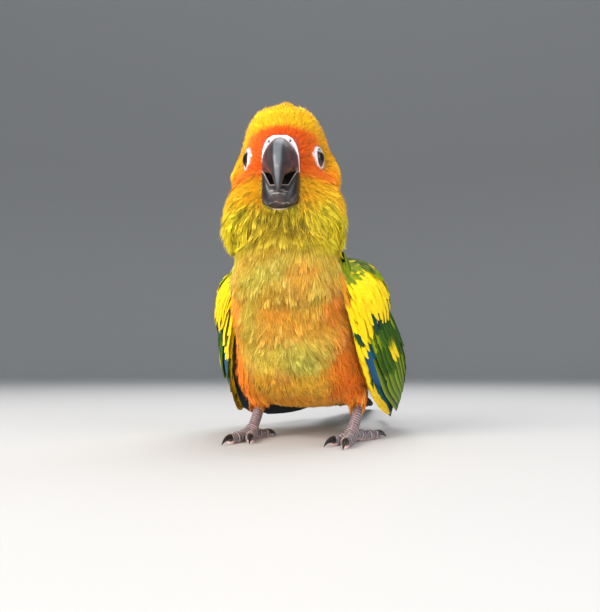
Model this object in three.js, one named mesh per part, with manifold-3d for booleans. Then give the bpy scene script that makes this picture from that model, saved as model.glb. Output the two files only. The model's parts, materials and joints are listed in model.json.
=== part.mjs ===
// A sun conure at life size, perched and looking at the viewer, as a still museum model.
// Millimetres, +Z up. The bird faces -Y, its left side is +X, its soles are at z = 0.
import * as THREE from "three";
import { mergeVertices } from "three/addons/utils/BufferGeometryUtils.js";
import Module from "manifold-3d";

const wasm = await Module();
wasm.setup();

// Driving dimensions
const gap = 0.3; // clearance between neighbouring pieces
const eyeLevel = 100.5; // height of the eyes above the floor
const headForward = 22.5; // how far the head's middle sits ahead of the body's
const headTurn = 10; // degrees, toward the bird's left
const eyeSpan = 10.3; // head's midline to the middle of an eyeball
const eyeRadius = 4.2;
const eyeAngle = 70; // degrees from straight ahead to where an eye points
const lidRadius = 3.3; // opening between the lids
const ringRadius = 5.1; // bare skin around the eye
const vaneThickness = 0.55;
const layerStep = 0.85; // one vane's thickness and the air over it
const tailLength = 128; // longest tail feathers, from the root block
const tailPairs = 6;
const toeRadius = 2.0;
const clawLength = 7.5;
const bodyRingPoints = 28;
const headRingPoints = 28;

const colours = {
  crown: 0xf2b52a,
  breast: 0xd9963a,
  neck: 0xc7a83e,
  rump: 0xc9a23c,
  thigh: 0xd8652c,
  wing: 0xd8cc2a,
  tail: 0x32504f,
  bill: 0x4a4a4f,
  cere: 0xe2d8dc,
  eye: 0x120f10,
  foot: 0x7a6268,
  claw: 0x151314,
};
const looks = {
  feather: { roughness: 0.85, metalness: 0 },
  skin: { roughness: 0.6, metalness: 0 },
  horn: { roughness: 0.3, metalness: 0 },
  eye: { roughness: 0.06, metalness: 0 },
};

// Small helpers
const vec = (x, y, z) => new THREE.Vector3(x, y, z);
const turn = THREE.MathUtils.degToRad;
const mix = (a, b, t) => a + (b - a) * t;
const bent = (value, power) => Math.sign(value) * Math.abs(value) ** power;
const times = (count, make) => Array.from({ length: count }, (_, i) => make(i));

// A seeded draw, so that feathers vary alike in every build
function drawFrom(seed) {
  let state = seed;
  return () => {
    state = (state * 1664525 + 1013904223) % 4294967296;
    return state / 4294967296 - 0.5;
  };
}

// Rows of numbers, read between rows by a smooth curve
function smoothTable(rows) {
  const columns = rows[0].map((_, c) => {
    const spline = new THREE.SplineCurve(rows.map((row, i) => new THREE.Vector2(i, row[c])));
    return (t) => spline.getPoint(t).y;
  });
  return (t) => columns.map((column) => column(t));
}

// A closed surface through rings of equal length, with a fan over each end
function loft(rings) {
  const size = rings[0].length;
  const points = rings.flat();
  const faces = [];
  for (let r = 0; r + 1 < rings.length; r++)
    for (let i = 0; i < size; i++) {
      const a = r * size + i;
      const b = r * size + ((i + 1) % size);
      faces.push(a, b, b + size, a, b + size, a + size);
    }
  for (const [ring, flip] of [[0, true], [rings.length - 1, false]]) {
    const middle = points.length;
    const centre = vec(0, 0, 0);
    rings[ring].forEach((p) => centre.add(p));
    points.push(centre.divideScalar(size));
    for (let i = 0; i < size; i++) {
      const a = ring * size + i;
      const b = ring * size + ((i + 1) % size);
      faces.push(...(flip ? [b, a, middle] : [a, b, middle]));
    }
  }
  return shell(points, faces);
}

// Points and faces as a geometry whose faces look outward
function shell(points, faces) {
  let volume = 0;
  for (let i = 0; i < faces.length; i += 3) {
    const [a, b, c] = [0, 1, 2].map((k) => points[faces[i + k]]);
    volume += a.dot(b.clone().cross(c));
  }
  if (volume < 0) faces.reverse();
  const geometry = new THREE.BufferGeometry();
  geometry.setAttribute("position", new THREE.Float32BufferAttribute(points.flatMap((p) => [p.x, p.y, p.z]), 3));
  geometry.setIndex(faces);
  return geometry;
}

function solid(geometry) {
  const bare = geometry.clone();
  bare.deleteAttribute("normal");
  bare.deleteAttribute("uv");
  const merged = mergeVertices(bare, 1e-4);
  const vertProperties = new Float32Array(merged.attributes.position.array);
  const triVerts = new Uint32Array(merged.index.array);
  const made = new wasm.Manifold(new wasm.Mesh({ numProp: 3, vertProperties, triVerts }));
  if (made.volume() > 0) return made;
  return new wasm.Manifold(new wasm.Mesh({ numProp: 3, vertProperties, triVerts: triVerts.reverse() }));
}

const fuse = (pieces) => pieces.reduce((all, piece) => all.add(piece));
const carve = (body, tools) => tools.reduce((left, tool) => left.subtract(tool), body);

// The largest closed surface of a solid
function largest(body) {
  const parts = body.decompose().sort((a, b) => b.volume() - a.volume());
  return parts[0];
}

function geometryOf(body) {
  const mesh = largest(body).getMesh();
  const geometry = new THREE.BufferGeometry();
  geometry.setAttribute("position", new THREE.BufferAttribute(new Float32Array(mesh.vertProperties), 3));
  geometry.setIndex(new THREE.BufferAttribute(new Uint32Array(mesh.triVerts), 1));
  geometry.computeVertexNormals();
  return geometry;
}

// A big block on the far side of a plane, to cut with
function halfSpace(point, normal) {
  const reach = 400;
  const block = new THREE.BoxGeometry(reach, reach, reach);
  const toNormal = new THREE.Quaternion().setFromUnitVectors(vec(0, 0, 1), normal.clone().normalize());
  const middle = point.clone().addScaledVector(normal.clone().normalize(), reach / 2);
  block.applyMatrix4(new THREE.Matrix4().compose(middle, toNormal, vec(1, 1, 1)));
  return solid(block);
}

// A round-sectioned tube whose radius follows the path, flattened where it meets the floor
function limb(path, radiusAt, rings, sides, floor = -Infinity) {
  const frames = path.computeFrenetFrames(rings - 1);
  return loft(
    times(rings, (r) => {
      const t = r / (rings - 1);
      const centre = path.getPointAt(t);
      const tangent = path.getTangentAt(t);
      const side = vec(0, 0, 1).cross(tangent);
      if (side.length() < 0.2) side.copy(frames.normals[r]);
      side.normalize();
      const up = tangent.clone().cross(side).normalize();
      const radius = radiusAt(t);
      return times(sides, (i) => {
        const angle = ((i + 0.5) / sides) * 2 * Math.PI;
        const p = centre.clone();
        p.addScaledVector(side, radius * Math.cos(angle)).addScaledVector(up, radius * Math.sin(angle));
        p.z = Math.max(p.z, floor);
        return p;
      });
    }),
  );
}

// Neck, torso and rump: one body, then parted by thin cuts
// Each row: x, y, z of the ring's middle, half width, depth in front, depth behind, squareness
const bodyRows = [
  [-1.2, -17.5, 80, 16.5, 14.5, 15, 2.1],
  [-1.6, -15.8, 69, 18.4, 16.5, 15.5, 2.1],
  [-2, -11.5, 58, 20, 20, 17, 2.2],
  [-1.8, -4.5, 49, 21.6, 25.5, 20, 2.4],
  [-1.2, 4, 41, 23.4, 29, 21.5, 2.7],
  [-0.5, 13, 34.5, 25.6, 25.5, 22, 2.8],
  [0, 24, 30, 26.6, 18.8, 20.5, 2.6],
  [0, 36, 27, 23, 13, 16.5, 2.4],
  [0, 47.5, 23.5, 17, 9.6, 12, 2.2],
  [0, 58, 19.5, 12, 6.8, 7.8, 2.1],
  [0, 67, 16.5, 9, 4.8, 5, 2.0],
];
const bodyRow = smoothTable(bodyRows);
const bodySpine = new THREE.CatmullRomCurve3(bodyRows.map(([x, y, z]) => vec(x, y, z)));
const spineSteps = bodyRows.length - 1;
const neckCut = 2.35 / spineSteps; // neck to torso, along the spine
const rumpCut = 7.0 / spineSteps; // torso to rump
const tailCut = 9.1 / spineSteps; // rump to the tail's root block

function bodyRing(t, grow) {
  const [, , , half, front, back, square] = bodyRow(t);
  const centre = bodySpine.getPoint(t);
  const tangent = bodySpine.getTangent(t);
  const dorsal = vec(1, 0, 0).cross(tangent).normalize();
  return times(bodyRingPoints, (i) => {
    const angle = (i / bodyRingPoints) * 2 * Math.PI;
    const across = bent(Math.cos(angle), 2 / square) * (half + grow);
    const rise = bent(Math.sin(angle), 2 / square);
    const depth = rise * ((rise > 0 ? back : front) + grow);
    return centre.clone().add(vec(across, 0, 0)).addScaledVector(dorsal, depth);
  });
}

const bodySolid = (grow) => solid(loft(times(23, (i) => bodyRing(i / 22, grow))));
const wholeBody = bodySolid(0);
const bodyClear = bodySolid(gap);

function spineCut(t) {
  const point = bodySpine.getPoint(t);
  const tangent = bodySpine.getTangent(t).normalize();
  const ahead = halfSpace(point.clone().addScaledVector(tangent, -gap / 2), tangent);
  const behind = halfSpace(point.clone().addScaledVector(tangent, gap / 2), tangent.clone().negate());
  return { ahead, behind };
}
const cuts = { neck: spineCut(neckCut), rump: spineCut(rumpCut), tail: spineCut(tailCut) };

// Head, in its own frame: x to the bird's left, -y ahead, z up from the eyes
const headMatrix = new THREE.Matrix4()
  .makeRotationZ(turn(headTurn))
  .setPosition(vec(-1.1, -headForward, eyeLevel));
const onHead = (geometry) => geometry.applyMatrix4(headMatrix);
const headWidest = -6; // the skull is widest this far behind the eyes

// Each row: height, reach ahead of the eyes, reach behind, half width, squareness ahead
const headRows = [
  [20.6, -1, -8, 3, 2],
  [19.4, 4, -12.5, 7.8, 2],
  [16.4, 8, -16.6, 11.6, 1.9],
  [12.2, 10.4, -19.4, 14.1, 1.75],
  [7, 11.7, -21.4, 16.2, 1.5],
  [2.4, 11.9, -22, 17.8, 1.35],
  [-2, 11.2, -21.8, 19, 1.35],
  [-6, 10, -21, 19.4, 1.5],
  [-11, 9.2, -19.9, 20, 1.8],
  [-16, 9.4, -19.2, 21.2, 2.1],
  [-20.5, 10.2, -19.2, 21.8, 2.3],
  [-25, 10.6, -19.6, 21.6, 2.4],
  [-29.5, 8.6, -19.4, 20.2, 2.4],
  [-33, 4.5, -17.5, 17.8, 2.3],
];

function headRing([height, ahead, behind, half, square], grow, lift) {
  const bias = Math.min(Math.max(headWidest, behind + 3), ahead - 3);
  return times(headRingPoints, (i) => {
    const angle = (i / headRingPoints) * 2 * Math.PI;
    const front = Math.sin(angle) > 0;
    const power = 2 / (front ? square : 2.1);
    const across = bent(Math.cos(angle), power) * (half + grow);
    const rise = bent(Math.sin(angle), power);
    const along = bias + rise * ((front ? ahead - bias : bias - behind) + grow);
    return vec(across, -along, height + lift);
  });
}

function headSolid(grow) {
  const last = headRows.length - 1;
  const lift = (i) => (i === 0 ? grow : i === last ? -grow : 0);
  return solid(onHead(loft(headRows.map((row, i) => headRing(row, grow, lift(i))))));
}

// Bill: rings between a ridge point and a palate point
// Each row: ridge ahead, ridge height, palate ahead, palate height, half width
const upperRows = [
  [7.5, 2.6, 7.5, -7.2, 5.8],
  [12.2, 2.4, 9.8, -7.8, 6.1],
  [15.8, 1.3, 11.6, -8.5, 5.8],
  [18.6, -1.4, 13.2, -9.2, 5.0],
  [20.2, -5, 14.6, -10.1, 4.0],
  [20.4, -8.8, 15.6, -11.2, 2.9],
  [19.5, -12.2, 16, -12.8, 2.0],
  [17.9, -15.2, 15.9, -15, 1.1],
  [16.7, -17.1, 16.3, -17, 0.3],
];
const cereRows = [
  [8.4, 3.5, 8.4, -8.2, 6.8],
  [11.2, 3.6, 9.8, -8.6, 7.0],
  [13.1, 2.9, 10.6, -8.4, 6.5],
];

function billRing([ridgeAhead, ridgeHeight, palateAhead, palateHeight, half], grow) {
  const sides = 12;
  const ridge = vec(0, -ridgeAhead, ridgeHeight);
  const palate = vec(0, -palateAhead, palateHeight);
  const down = palate.clone().sub(ridge).normalize();
  ridge.addScaledVector(down, -grow);
  palate.addScaledVector(down, grow);
  return times(sides, (i) => {
    const angle = (i / sides) * 2 * Math.PI;
    const along = ((1 - Math.cos(angle)) / 2) ** 0.8;
    const across = bent(Math.sin(angle), 0.85) * (half + grow);
    return ridge.clone().lerp(palate, along).add(vec(across, 0, 0));
  });
}
const billSolid = (rows, grow) => solid(onHead(loft(rows.map((row) => billRing(row, grow)))));

// Lower mandible: level rings, a scoop open at the top
// Each row: height, reach ahead, reach behind, half width
const lowerRows = [
  [-21.2, 10.2, 3, 4.3],
  [-20.4, 12, 2, 5.6],
  [-18, 13.5, 1.5, 6.3],
  [-15.6, 14, 1, 6.5],
  [-12.6, 11.6, 0.5, 6.5],
  [-9.4, 8.8, 0.5, 6.2],
];

function lowerSolid(grow) {
  const last = lowerRows.length - 1;
  const rings = lowerRows.map(([height, ahead, behind, half], r) => {
    const lift = r === 0 ? -grow : r === last ? grow : 0;
    const middle = (ahead + behind) / 2;
    return times(16, (i) => {
      const angle = (i / 16) * 2 * Math.PI;
      const across = bent(Math.cos(angle), 0.7) * (half + grow);
      const along = middle + bent(Math.sin(angle), 0.8) * ((ahead - behind) / 2 + grow);
      return vec(across, -along, height + lift);
    });
  });
  return solid(onHead(loft(rings)));
}

function ellipsoid(x, ahead, height, rx, ra, rz) {
  const ball = new THREE.SphereGeometry(1, 16, 10);
  ball.scale(rx, ra, rz);
  ball.translate(x, -ahead, height);
  return solid(onHead(ball));
}

const upperBill = billSolid(upperRows, 0);
const upperClear = billSolid(upperRows, gap);
const cereClear = billSolid(cereRows, gap);
const mouth = ellipsoid(0, 9.4, -11.2, 5.2, 4.6, 3.9);
const lowerClear = lowerSolid(gap);
const lowerBill = carve(lowerSolid(0), [mouth, upperClear]);

function nostril(side) {
  const hole = new THREE.CylinderGeometry(0.75, 0.75, 4, 10);
  hole.rotateX(Math.PI / 2 - 0.5);
  hole.translate(side * 4.3, -12.6, 2.7);
  return solid(onHead(hole));
}
const cere = carve(billSolid(cereRows, 0), [upperClear, lowerClear, mouth, nostril(1), nostril(-1)]);

// Eyes: a ball, a ring of bare lid around it, and the seat cut for both
function eyePlace(side) {
  const aim = vec(side * Math.sin(turn(eyeAngle)), -Math.cos(turn(eyeAngle)), 0.03).normalize();
  const turnTo = new THREE.Quaternion().setFromUnitVectors(vec(0, 1, 0), aim);
  return new THREE.Matrix4().compose(vec(side * eyeSpan, 0.9, 0.2), turnTo, vec(1, 1, 1));
}

function lathe(profile, side, segments) {
  const turned = new THREE.LatheGeometry(profile.map(([r, h]) => new THREE.Vector2(r, h)), segments);
  return solid(onHead(turned.applyMatrix4(eyePlace(side))));
}

function ball(side, radius) {
  return solid(onHead(new THREE.SphereGeometry(radius, 16, 9).applyMatrix4(eyePlace(side))));
}

// Around the eye's axis: inner lip, brow, outer edge, back of the ring
const lidProfile = [
  [lidRadius, 3.2],
  [ringRadius - 0.55, 1.0],
  [ringRadius - 0.3, 1.1],
  [ringRadius, 1.9],
  [ringRadius - 0.5, 2.9],
  [lidRadius + 0.5, 3.6],
  [lidRadius, 3.2],
];
const seatProfile = [
  [0, 0.7],
  [ringRadius - 0.2, 0.7],
  [ringRadius + gap, 1.6],
  [ringRadius + gap + 0.2, 9],
  [0, 9],
];

const eyes = [1, -1].map((side) => ({
  name: side > 0 ? "left" : "right",
  ball: ball(side, eyeRadius),
  clear: ball(side, eyeRadius + gap),
  lids: lathe(lidProfile, side, 18),
  seat: lathe(seatProfile, side, 18),
}));

const head = carve(headSolid(0), [
  upperClear,
  cereClear,
  lowerClear,
  mouth,
  ...eyes.flatMap((eye) => [eye.clear, eye.seat]),
]);

// Neck, torso and rump
const headClear = headSolid(gap);
const neck = carve(wholeBody, [cuts.neck.ahead, headClear]);
const torso = carve(wholeBody, [cuts.neck.behind, cuts.rump.ahead, headClear]);
const rump = carve(wholeBody, [cuts.rump.behind, cuts.tail.ahead]);

// A feather vane: a thin blade along a path, its width across and its face given at each step
function vane({ place, steps, width, thickness = vaneThickness }) {
  const widths = [0.55, 0.9, 1, 1, 0.85, 0.28];
  const rings = times(steps + 1, (i) => {
    const t = i / steps;
    const { at, across, up } = place(t);
    const slot = t * (widths.length - 1);
    const k = Math.min(Math.floor(slot), widths.length - 2);
    const half = (width / 2) * mix(widths[k], widths[k + 1], slot - k);
    const thick = (thickness / 2) * (t === 1 ? 0.5 : 1);
    const corner = (a, b) => at.clone().addScaledVector(across, a * half).addScaledVector(up, b * thick);
    return [corner(-1, 1), corner(1, 1), corner(1, -1), corner(-1, -1)];
  });
  return blade(rings);
}

// Four-sided rings joined with the same diagonals on both faces
function blade(rings) {
  const points = rings.flat();
  const faces = [];
  for (let r = 0; r + 1 < rings.length; r++) {
    const [a, b, c, d] = [0, 1, 2, 3].map((k) => r * 4 + k);
    faces.push(a, b, b + 4, a, b + 4, a + 4);
    faces.push(c, d, c + 4, d, d + 4, c + 4);
    faces.push(b, c, c + 4, b, c + 4, b + 4);
    faces.push(d, a, a + 4, d, a + 4, d + 4);
  }
  const end = (rings.length - 1) * 4;
  faces.push(1, 0, 3, 1, 3, 2);
  faces.push(end, end + 1, end + 2, end, end + 2, end + 3);
  return solid(shell(points, faces));
}

// Folded wing: a curved sheet between a lower, leading edge and an upper one along the back
// Each row: x, y, z along the bird's left wing, shoulder to tip
const lowerEdge = new THREE.CatmullRomCurve3([
  vec(18, -13, 56), vec(22.5, -8, 42), vec(26.5, -1, 28), vec(30.5, 13, 17.5),
  vec(33.5, 36, 10.5), vec(28, 68, 6.5), vec(17, 108, 4),
]);
const upperEdge = new THREE.CatmullRomCurve3([
  vec(14.5, 0, 67), vec(18, 12, 62), vec(18.5, 27, 54), vec(17, 45, 43),
  vec(14.5, 66, 30), vec(13.5, 88, 19), vec(14.5, 108, 11.5),
]);
const wingBulge = smoothTable([[3], [6], [8.5], [9.5], [7], [3], [1]]);

function wingFrame(u, chord, lift) {
  const low = lowerEdge.getPoint(u);
  const high = upperEdge.getPoint(u);
  const span = high.clone().sub(low);
  const v = chord / span.length();
  const along = lowerEdge.getTangent(u).lerp(upperEdge.getTangent(u), v).normalize();
  const out = along.clone().cross(span).normalize();
  if (out.x < 0) out.negate();
  const bulge = wingBulge(u)[0];
  const inside = Math.min(Math.max(v, 0), 1);
  const at = low.clone().addScaledVector(span, v);
  at.addScaledVector(out, bulge * Math.sin(Math.PI * inside));
  const slope = (bulge * Math.PI * Math.cos(Math.PI * inside)) / span.length();
  const across = span.clone().normalize().addScaledVector(out, slope).normalize();
  const up = along.clone().cross(across).normalize();
  if (up.x < 0) up.negate();
  at.addScaledVector(up, lift);
  return { at, across, up, chord: span.length() };
}

// The fleshy front of the wing, under its small coverts
const armReach = 0.25;
function armSolid() {
  const stations = [0, 0.02, 0.06, 0.11, 0.16, 0.21, armReach];
  const thickness = [0.6, 3.2, 4.8, 5.2, 4.6, 3.4, 1.4];
  return solid(
    loft(
      stations.map((u, s) => {
        const chord = wingFrame(u, 0, 0).chord;
        const trim = s === 0 ? 0.3 : s === 1 ? 0.12 : 0;
        return times(16, (i) => {
          const angle = (i / 16) * 2 * Math.PI;
          const across = chord * (0.5 + (0.5 - trim) * Math.cos(angle));
          const lift = 0.6 + bent(Math.sin(angle), 0.8) * thickness[s];
          return wingFrame(u, across, lift).at;
        });
      }),
    ),
  );
}

// Tiers of the wing. chord: height above the leading edge of the first vane and the step to the next;
// reach: where along the wing the first tip and the last tip end; lift: height of the tier on the wing
const wingTiers = [
  { count: 7, root: 0.15, chord: [4.2, 2.15], tip: [0.97, 0.74], width: 9.2, lift: 0, tilt: 22, steps: 5 },
  { count: 6, root: 0.14, chord: [19.5, 4.1], tip: [0.69, 0.58], width: 11.5, lift: 0.9, tilt: 13, steps: 4 },
  { count: 4, root: 0.13, chord: [4.5, 3.6], tip: [0.4, 0.37], width: 6.6, lift: 3.3, tilt: 15, steps: 3 },
  { count: 6, root: 0.12, chord: [18.5, 4.6], tip: [0.43, 0.37], width: 8, lift: 3.0, tilt: 12, steps: 3 },
  { count: 2, root: 0.12, chord: [41, 3.2], tip: [0.53, 0.48], width: 9.5, lift: 3.4, tilt: 12, steps: 4 },
];

function wingVanes() {
  const draw = drawFrom(7);
  return wingTiers.flatMap((tier) =>
    times(tier.count, (i) => {
      const share = tier.count > 1 ? i / (tier.count - 1) : 0;
      const reach = mix(tier.tip[0], tier.tip[1], share) * (1 + 0.012 * draw());
      const chord = tier.chord[0] + tier.chord[1] * i;
      const lean = Math.tan(turn(tier.tilt));
      const place = (t) => {
        const u = mix(tier.root, reach, t);
        const limit = wingFrame(u, 0, 0).chord;
        const here = wingFrame(u, Math.min(chord, limit - 2), tier.lift);
        here.across.addScaledVector(here.up, -lean).normalize();
        here.up.addScaledVector(here.across, -here.up.dot(here.across)).normalize();
        return here;
      };
      return vane({ place, steps: tier.steps, width: tier.width * (1 + 0.06 * draw()) });
    }),
  );
}

const rightWingOut = 1.5; // the right wing hangs this much further from the body
const mirror = new THREE.Matrix4().makeScale(-1, 1, 1).setPosition(vec(-rightWingOut, 0, 0));
function mirrored(body) {
  const mesh = body.getMesh();
  const points = times(mesh.vertProperties.length / 3, (i) => {
    const [x, y, z] = mesh.vertProperties.slice(i * 3, i * 3 + 3);
    return vec(x, y, z).applyMatrix4(mirror);
  });
  return solid(shell(points, [...mesh.triVerts]));
}

const leftWing = carve(largest(fuse([armSolid(), ...wingVanes()])), [bodyClear, headClear]);
const rightWing = carve(mirrored(largest(fuse([armSolid(), ...wingVanes()]))), [bodyClear, headClear]);

// Tail: a root block behind the rump, twelve graduated feathers and the coverts over and under them
const rootStart = bodySpine.getPoint(tailCut);
const tailRoot = carve(wholeBody, [cuts.tail.behind]);
const tailSlope = 0.155; // fall of the tail feathers along their length, until they lie on the floor

function tailVane({ side, offset, spread, length, width, drop }) {
  const start = vec(side * offset, rootStart.y + 2, rootStart.z + 3.2 - drop);
  const fall = Math.min(start.z - vaneThickness / 2, tailSlope * length);
  const place = (t) => {
    const run = t * length;
    const at = vec(start.x + side * spread * t, start.y + run, mix(start.z, start.z - fall, t));
    return { at, across: vec(1, 0, 0), up: vec(0, 0, 1) };
  };
  return vane({ place, steps: 5, width });
}

const tailVanes = times(tailPairs, (pair) =>
  [1, -1].map((side) =>
    tailVane({
      side,
      offset: 1.2 + 0.65 * pair,
      spread: 0.3 + 0.45 * pair,
      length: tailLength - 11.5 * pair,
      width: 11.5 - 0.35 * pair,
      drop: (2 * pair + (side > 0 ? 0 : 1)) * layerStep,
    }),
  ),
).flat();

// Coverts over the tail, then under it. Each row: side, offset, spread, length, drop
const covertRows = [
  [1, 0, 0, 38, -1.8],
  [1, 4.2, 1.2, 32, -0.9],
  [-1, 4.2, 1.2, 33, -0.9],
  [1, 3.2, 1.4, 30, 11.1],
  [-1, 3.2, 1.4, 28, 11.1],
];
const coverts = covertRows.map(([side, offset, spread, length, drop]) =>
  tailVane({ side, offset, spread, length, width: 9, drop }),
);
const tail = carve(largest(fuse([tailRoot, ...tailVanes, ...coverts])), [carve(bodyClear, [cuts.tail.ahead])]);

// Legs: feathered thigh, scaled shank and a foot with two toes ahead and two behind
const legs = [
  { name: "left", side: 1, palm: vec(20, -5, 3.4), turned: -9 },
  { name: "right", side: -1, palm: vec(-18.5, -3, 3.4), turned: -4 },
];
// Each toe: direction from straight ahead (outward positive), length, radius at its root
const toes = [
  { digit: 2, angle: -12, length: 12.5, radius: toeRadius },
  { digit: 3, angle: 11, length: 17.5, radius: toeRadius * 1.05 },
  { digit: 4, angle: 162, length: 16, radius: toeRadius },
  { digit: 1, angle: 203, length: 9.5, radius: toeRadius * 0.9 },
];

function legPieces({ name, side, palm, turned }) {
  const heading = (angle) => {
    const a = turn(side * (angle + turned));
    return vec(Math.sin(a), -Math.cos(a), 0);
  };
  const ankle = palm.clone().add(vec(side * 1.2, 13.5, 10));
  const knee = vec(side * 12.5, 1, 27);
  const thighPath = new THREE.CatmullRomCurve3([knee, vec(side * 16.5, 5, 18.5), ankle]);
  const thighRadius = (grow) => (t) => mix(8.5, 3.6, t ** 0.8) + grow;
  const thigh = (grow) => solid(limb(thighPath, thighRadius(grow), 6, 14));
  const shankPath = new THREE.CatmullRomCurve3([
    ankle.clone().add(vec(0, -2.4, 2.2)), ankle, palm.clone().add(vec(0, 1.5, 1.2)), palm.clone().add(vec(0, -1, 0.4)),
  ]);
  const shankRadius = (grow) => (t) => 2.0 + 0.5 * Math.abs(2 * t - 1) ** 2 + grow;
  const shank = (grow) => solid(limb(shankPath, shankRadius(grow), 8, 10, grow ? -1 : 0));

  const pieces = toes.map((toe) => {
    const ahead = heading(toe.angle);
    const reach = (share, height) => palm.clone().setZ(height).addScaledVector(ahead, toe.length * share);
    const path = new THREE.CatmullRomCurve3([
      reach(0, palm.z), reach(0.35, toe.radius * 0.95), reach(0.7, toe.radius * 0.85), reach(1, toe.radius * 0.8),
    ]);
    const joints = toe.length > 14 ? 3 : 2;
    const swell = (t) => toe.radius * (1.12 - 0.3 * t + 0.1 * Math.cos(2 * Math.PI * joints * t));
    const root = reach(1, toe.radius * 0.95);
    const tip = root.clone().addScaledVector(ahead, clawLength * 0.82).setZ(0.35);
    const crest = root.clone().addScaledVector(ahead, clawLength * 0.5).setZ(toe.radius * 1.35);
    const clawPath = new THREE.QuadraticBezierCurve3(root, crest, tip);
    const claw = solid(limb(clawPath, (t) => mix(1.25, 0.2, t ** 0.9), 5, 6, 0));
    const clawClear = solid(limb(clawPath, (t) => mix(1.25, 0.2, t ** 0.9) + gap, 5, 6));
    return { toe: solid(limb(path, swell, 8, 8, 0)), claw, clawClear, digit: toe.digit };
  });
  const pad = new THREE.SphereGeometry(3.1, 12, 8).translate(palm.x, palm.y, palm.z - 0.3);
  const padSolid = solid(pad).subtract(halfSpace(vec(0, 0, 0), vec(0, 0, -1)));
  const foot = carve(fuse([padSolid, ...pieces.map((p) => p.toe)]), [shank(gap), ...pieces.map((p) => p.clawClear)]);
  return {
    thigh: [`thigh_${name}`, carve(thigh(0), [bodyClear]), "thigh"],
    shank: [`tarsus_${name}`, carve(shank(0), [thigh(gap), bodyClear]), "foot"],
    foot: [`foot_${name}`, foot, "foot"],
    claws: pieces.map((p) => [`claw_${name}_${p.digit}`, p.claw, "claw"]),
  };
}

// The whole bird
const conure = new THREE.Group();
function add(name, body, colour, look) {
  const material = new THREE.MeshStandardMaterial({ color: colours[colour], ...looks[look] });
  const mesh = new THREE.Mesh(geometryOf(body), material);
  mesh.name = name;
  conure.add(mesh);
}

add("head", head, "crown", "feather");
add("neck", neck, "neck", "feather");
add("torso", torso, "breast", "feather");
add("rump", rump, "rump", "feather");
add("tail", tail, "tail", "feather");
add("wing_left", leftWing, "wing", "feather");
add("wing_right", rightWing, "wing", "feather");
add("bill_upper", upperBill, "bill", "horn");
add("bill_lower", lowerBill, "bill", "horn");
add("cere", cere, "cere", "skin");
for (const eye of eyes) {
  add(`eye_${eye.name}`, eye.ball, "eye", "eye");
  add(`eyelids_${eye.name}`, eye.lids, "cere", "skin");
}
for (const leg of legs.map(legPieces)) {
  add(...leg.thigh, "feather");
  add(...leg.shank, "skin");
  add(...leg.foot, "skin");
  leg.claws.forEach((claw) => add(...claw, "horn"));
}

// The origin is the middle of the bird's footprint, on the floor
const extent = new THREE.Box3().setFromObject(conure);
const footprint = extent.getCenter(vec(0, 0, 0));
conure.position.set(-footprint.x, -footprint.y, -extent.min.z);

export default conure;
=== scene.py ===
import json
import math

import bmesh
import bpy
import numpy as np
from mathutils import Matrix, Vector
from mathutils.bvhtree import BVHTree
from mathutils.kdtree import KDTree

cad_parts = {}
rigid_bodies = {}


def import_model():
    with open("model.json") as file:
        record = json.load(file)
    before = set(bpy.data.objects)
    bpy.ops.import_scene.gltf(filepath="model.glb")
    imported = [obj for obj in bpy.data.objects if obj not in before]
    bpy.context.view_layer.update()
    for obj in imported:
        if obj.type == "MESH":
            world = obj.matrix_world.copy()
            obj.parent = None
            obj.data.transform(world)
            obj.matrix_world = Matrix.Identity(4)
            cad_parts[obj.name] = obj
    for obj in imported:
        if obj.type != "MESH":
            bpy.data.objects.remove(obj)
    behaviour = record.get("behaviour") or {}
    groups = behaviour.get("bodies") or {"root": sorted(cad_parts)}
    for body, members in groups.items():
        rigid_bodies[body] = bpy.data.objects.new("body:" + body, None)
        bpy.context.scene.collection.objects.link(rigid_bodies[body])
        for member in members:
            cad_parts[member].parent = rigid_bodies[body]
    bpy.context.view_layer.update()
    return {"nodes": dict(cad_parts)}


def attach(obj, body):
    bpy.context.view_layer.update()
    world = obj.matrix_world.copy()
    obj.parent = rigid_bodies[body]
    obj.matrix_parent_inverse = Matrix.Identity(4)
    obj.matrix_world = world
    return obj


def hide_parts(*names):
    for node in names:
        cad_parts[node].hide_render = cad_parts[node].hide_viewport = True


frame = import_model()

print("frame loaded,", len(frame["nodes"]), "nodes")

# The bird is laid out in millimetres on its own axes: -y ahead, +x to its left, soles at z = 0
mm = 0.001
floorMiddle = np.array([0.75, -73.1675, 0.0])  # from the bird's axes to the frame's origin
draw = np.random.default_rng(20)


def toMetres(points):
    return (np.asarray(points, float) + floorMiddle) * mm


def toBird(points):
    return np.asarray(points, float) / mm - floorMiddle


def unit(v):
    v = np.asarray(v, float)
    return v / np.maximum(np.linalg.norm(v, axis=-1, keepdims=True), 1e-9)


def offAxis(v, axis):
    # what is left of v without its part along a unit axis
    return v - (v * axis).sum(-1, keepdims=True) * axis


def ease(low, high, x):
    t = np.clip((np.asarray(x, float) - low) / (high - low), 0, 1)
    return t * t * (3 - 2 * t)


def band(value, middle, width):
    # 1 in the middle of a band, and 0 from its edges on
    return 1 - ease(0, 1, np.abs(value - middle) / width)


def mix(a, b, t):
    return a + (b - a) * t


def paint(red, green, blue):
    c = np.array([red, green, blue], float) / 255
    return np.where(c <= 0.04045, c / 12.92, ((c + 0.055) / 1.055) ** 2.4)


def palette(**tones):
    return {name: paint(*tone) for name, tone in tones.items()}


def over(base, colour, share):
    return base + (colour - base) * np.asarray(share, float)[..., None]


def layered(tones, base, *layers):
    # named tones laid over a base, each with its share at every place
    colour = tones[base] if isinstance(base, str) else base
    for name, share in layers:
        colour = over(colour, tones[name], share)
    return colour


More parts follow.
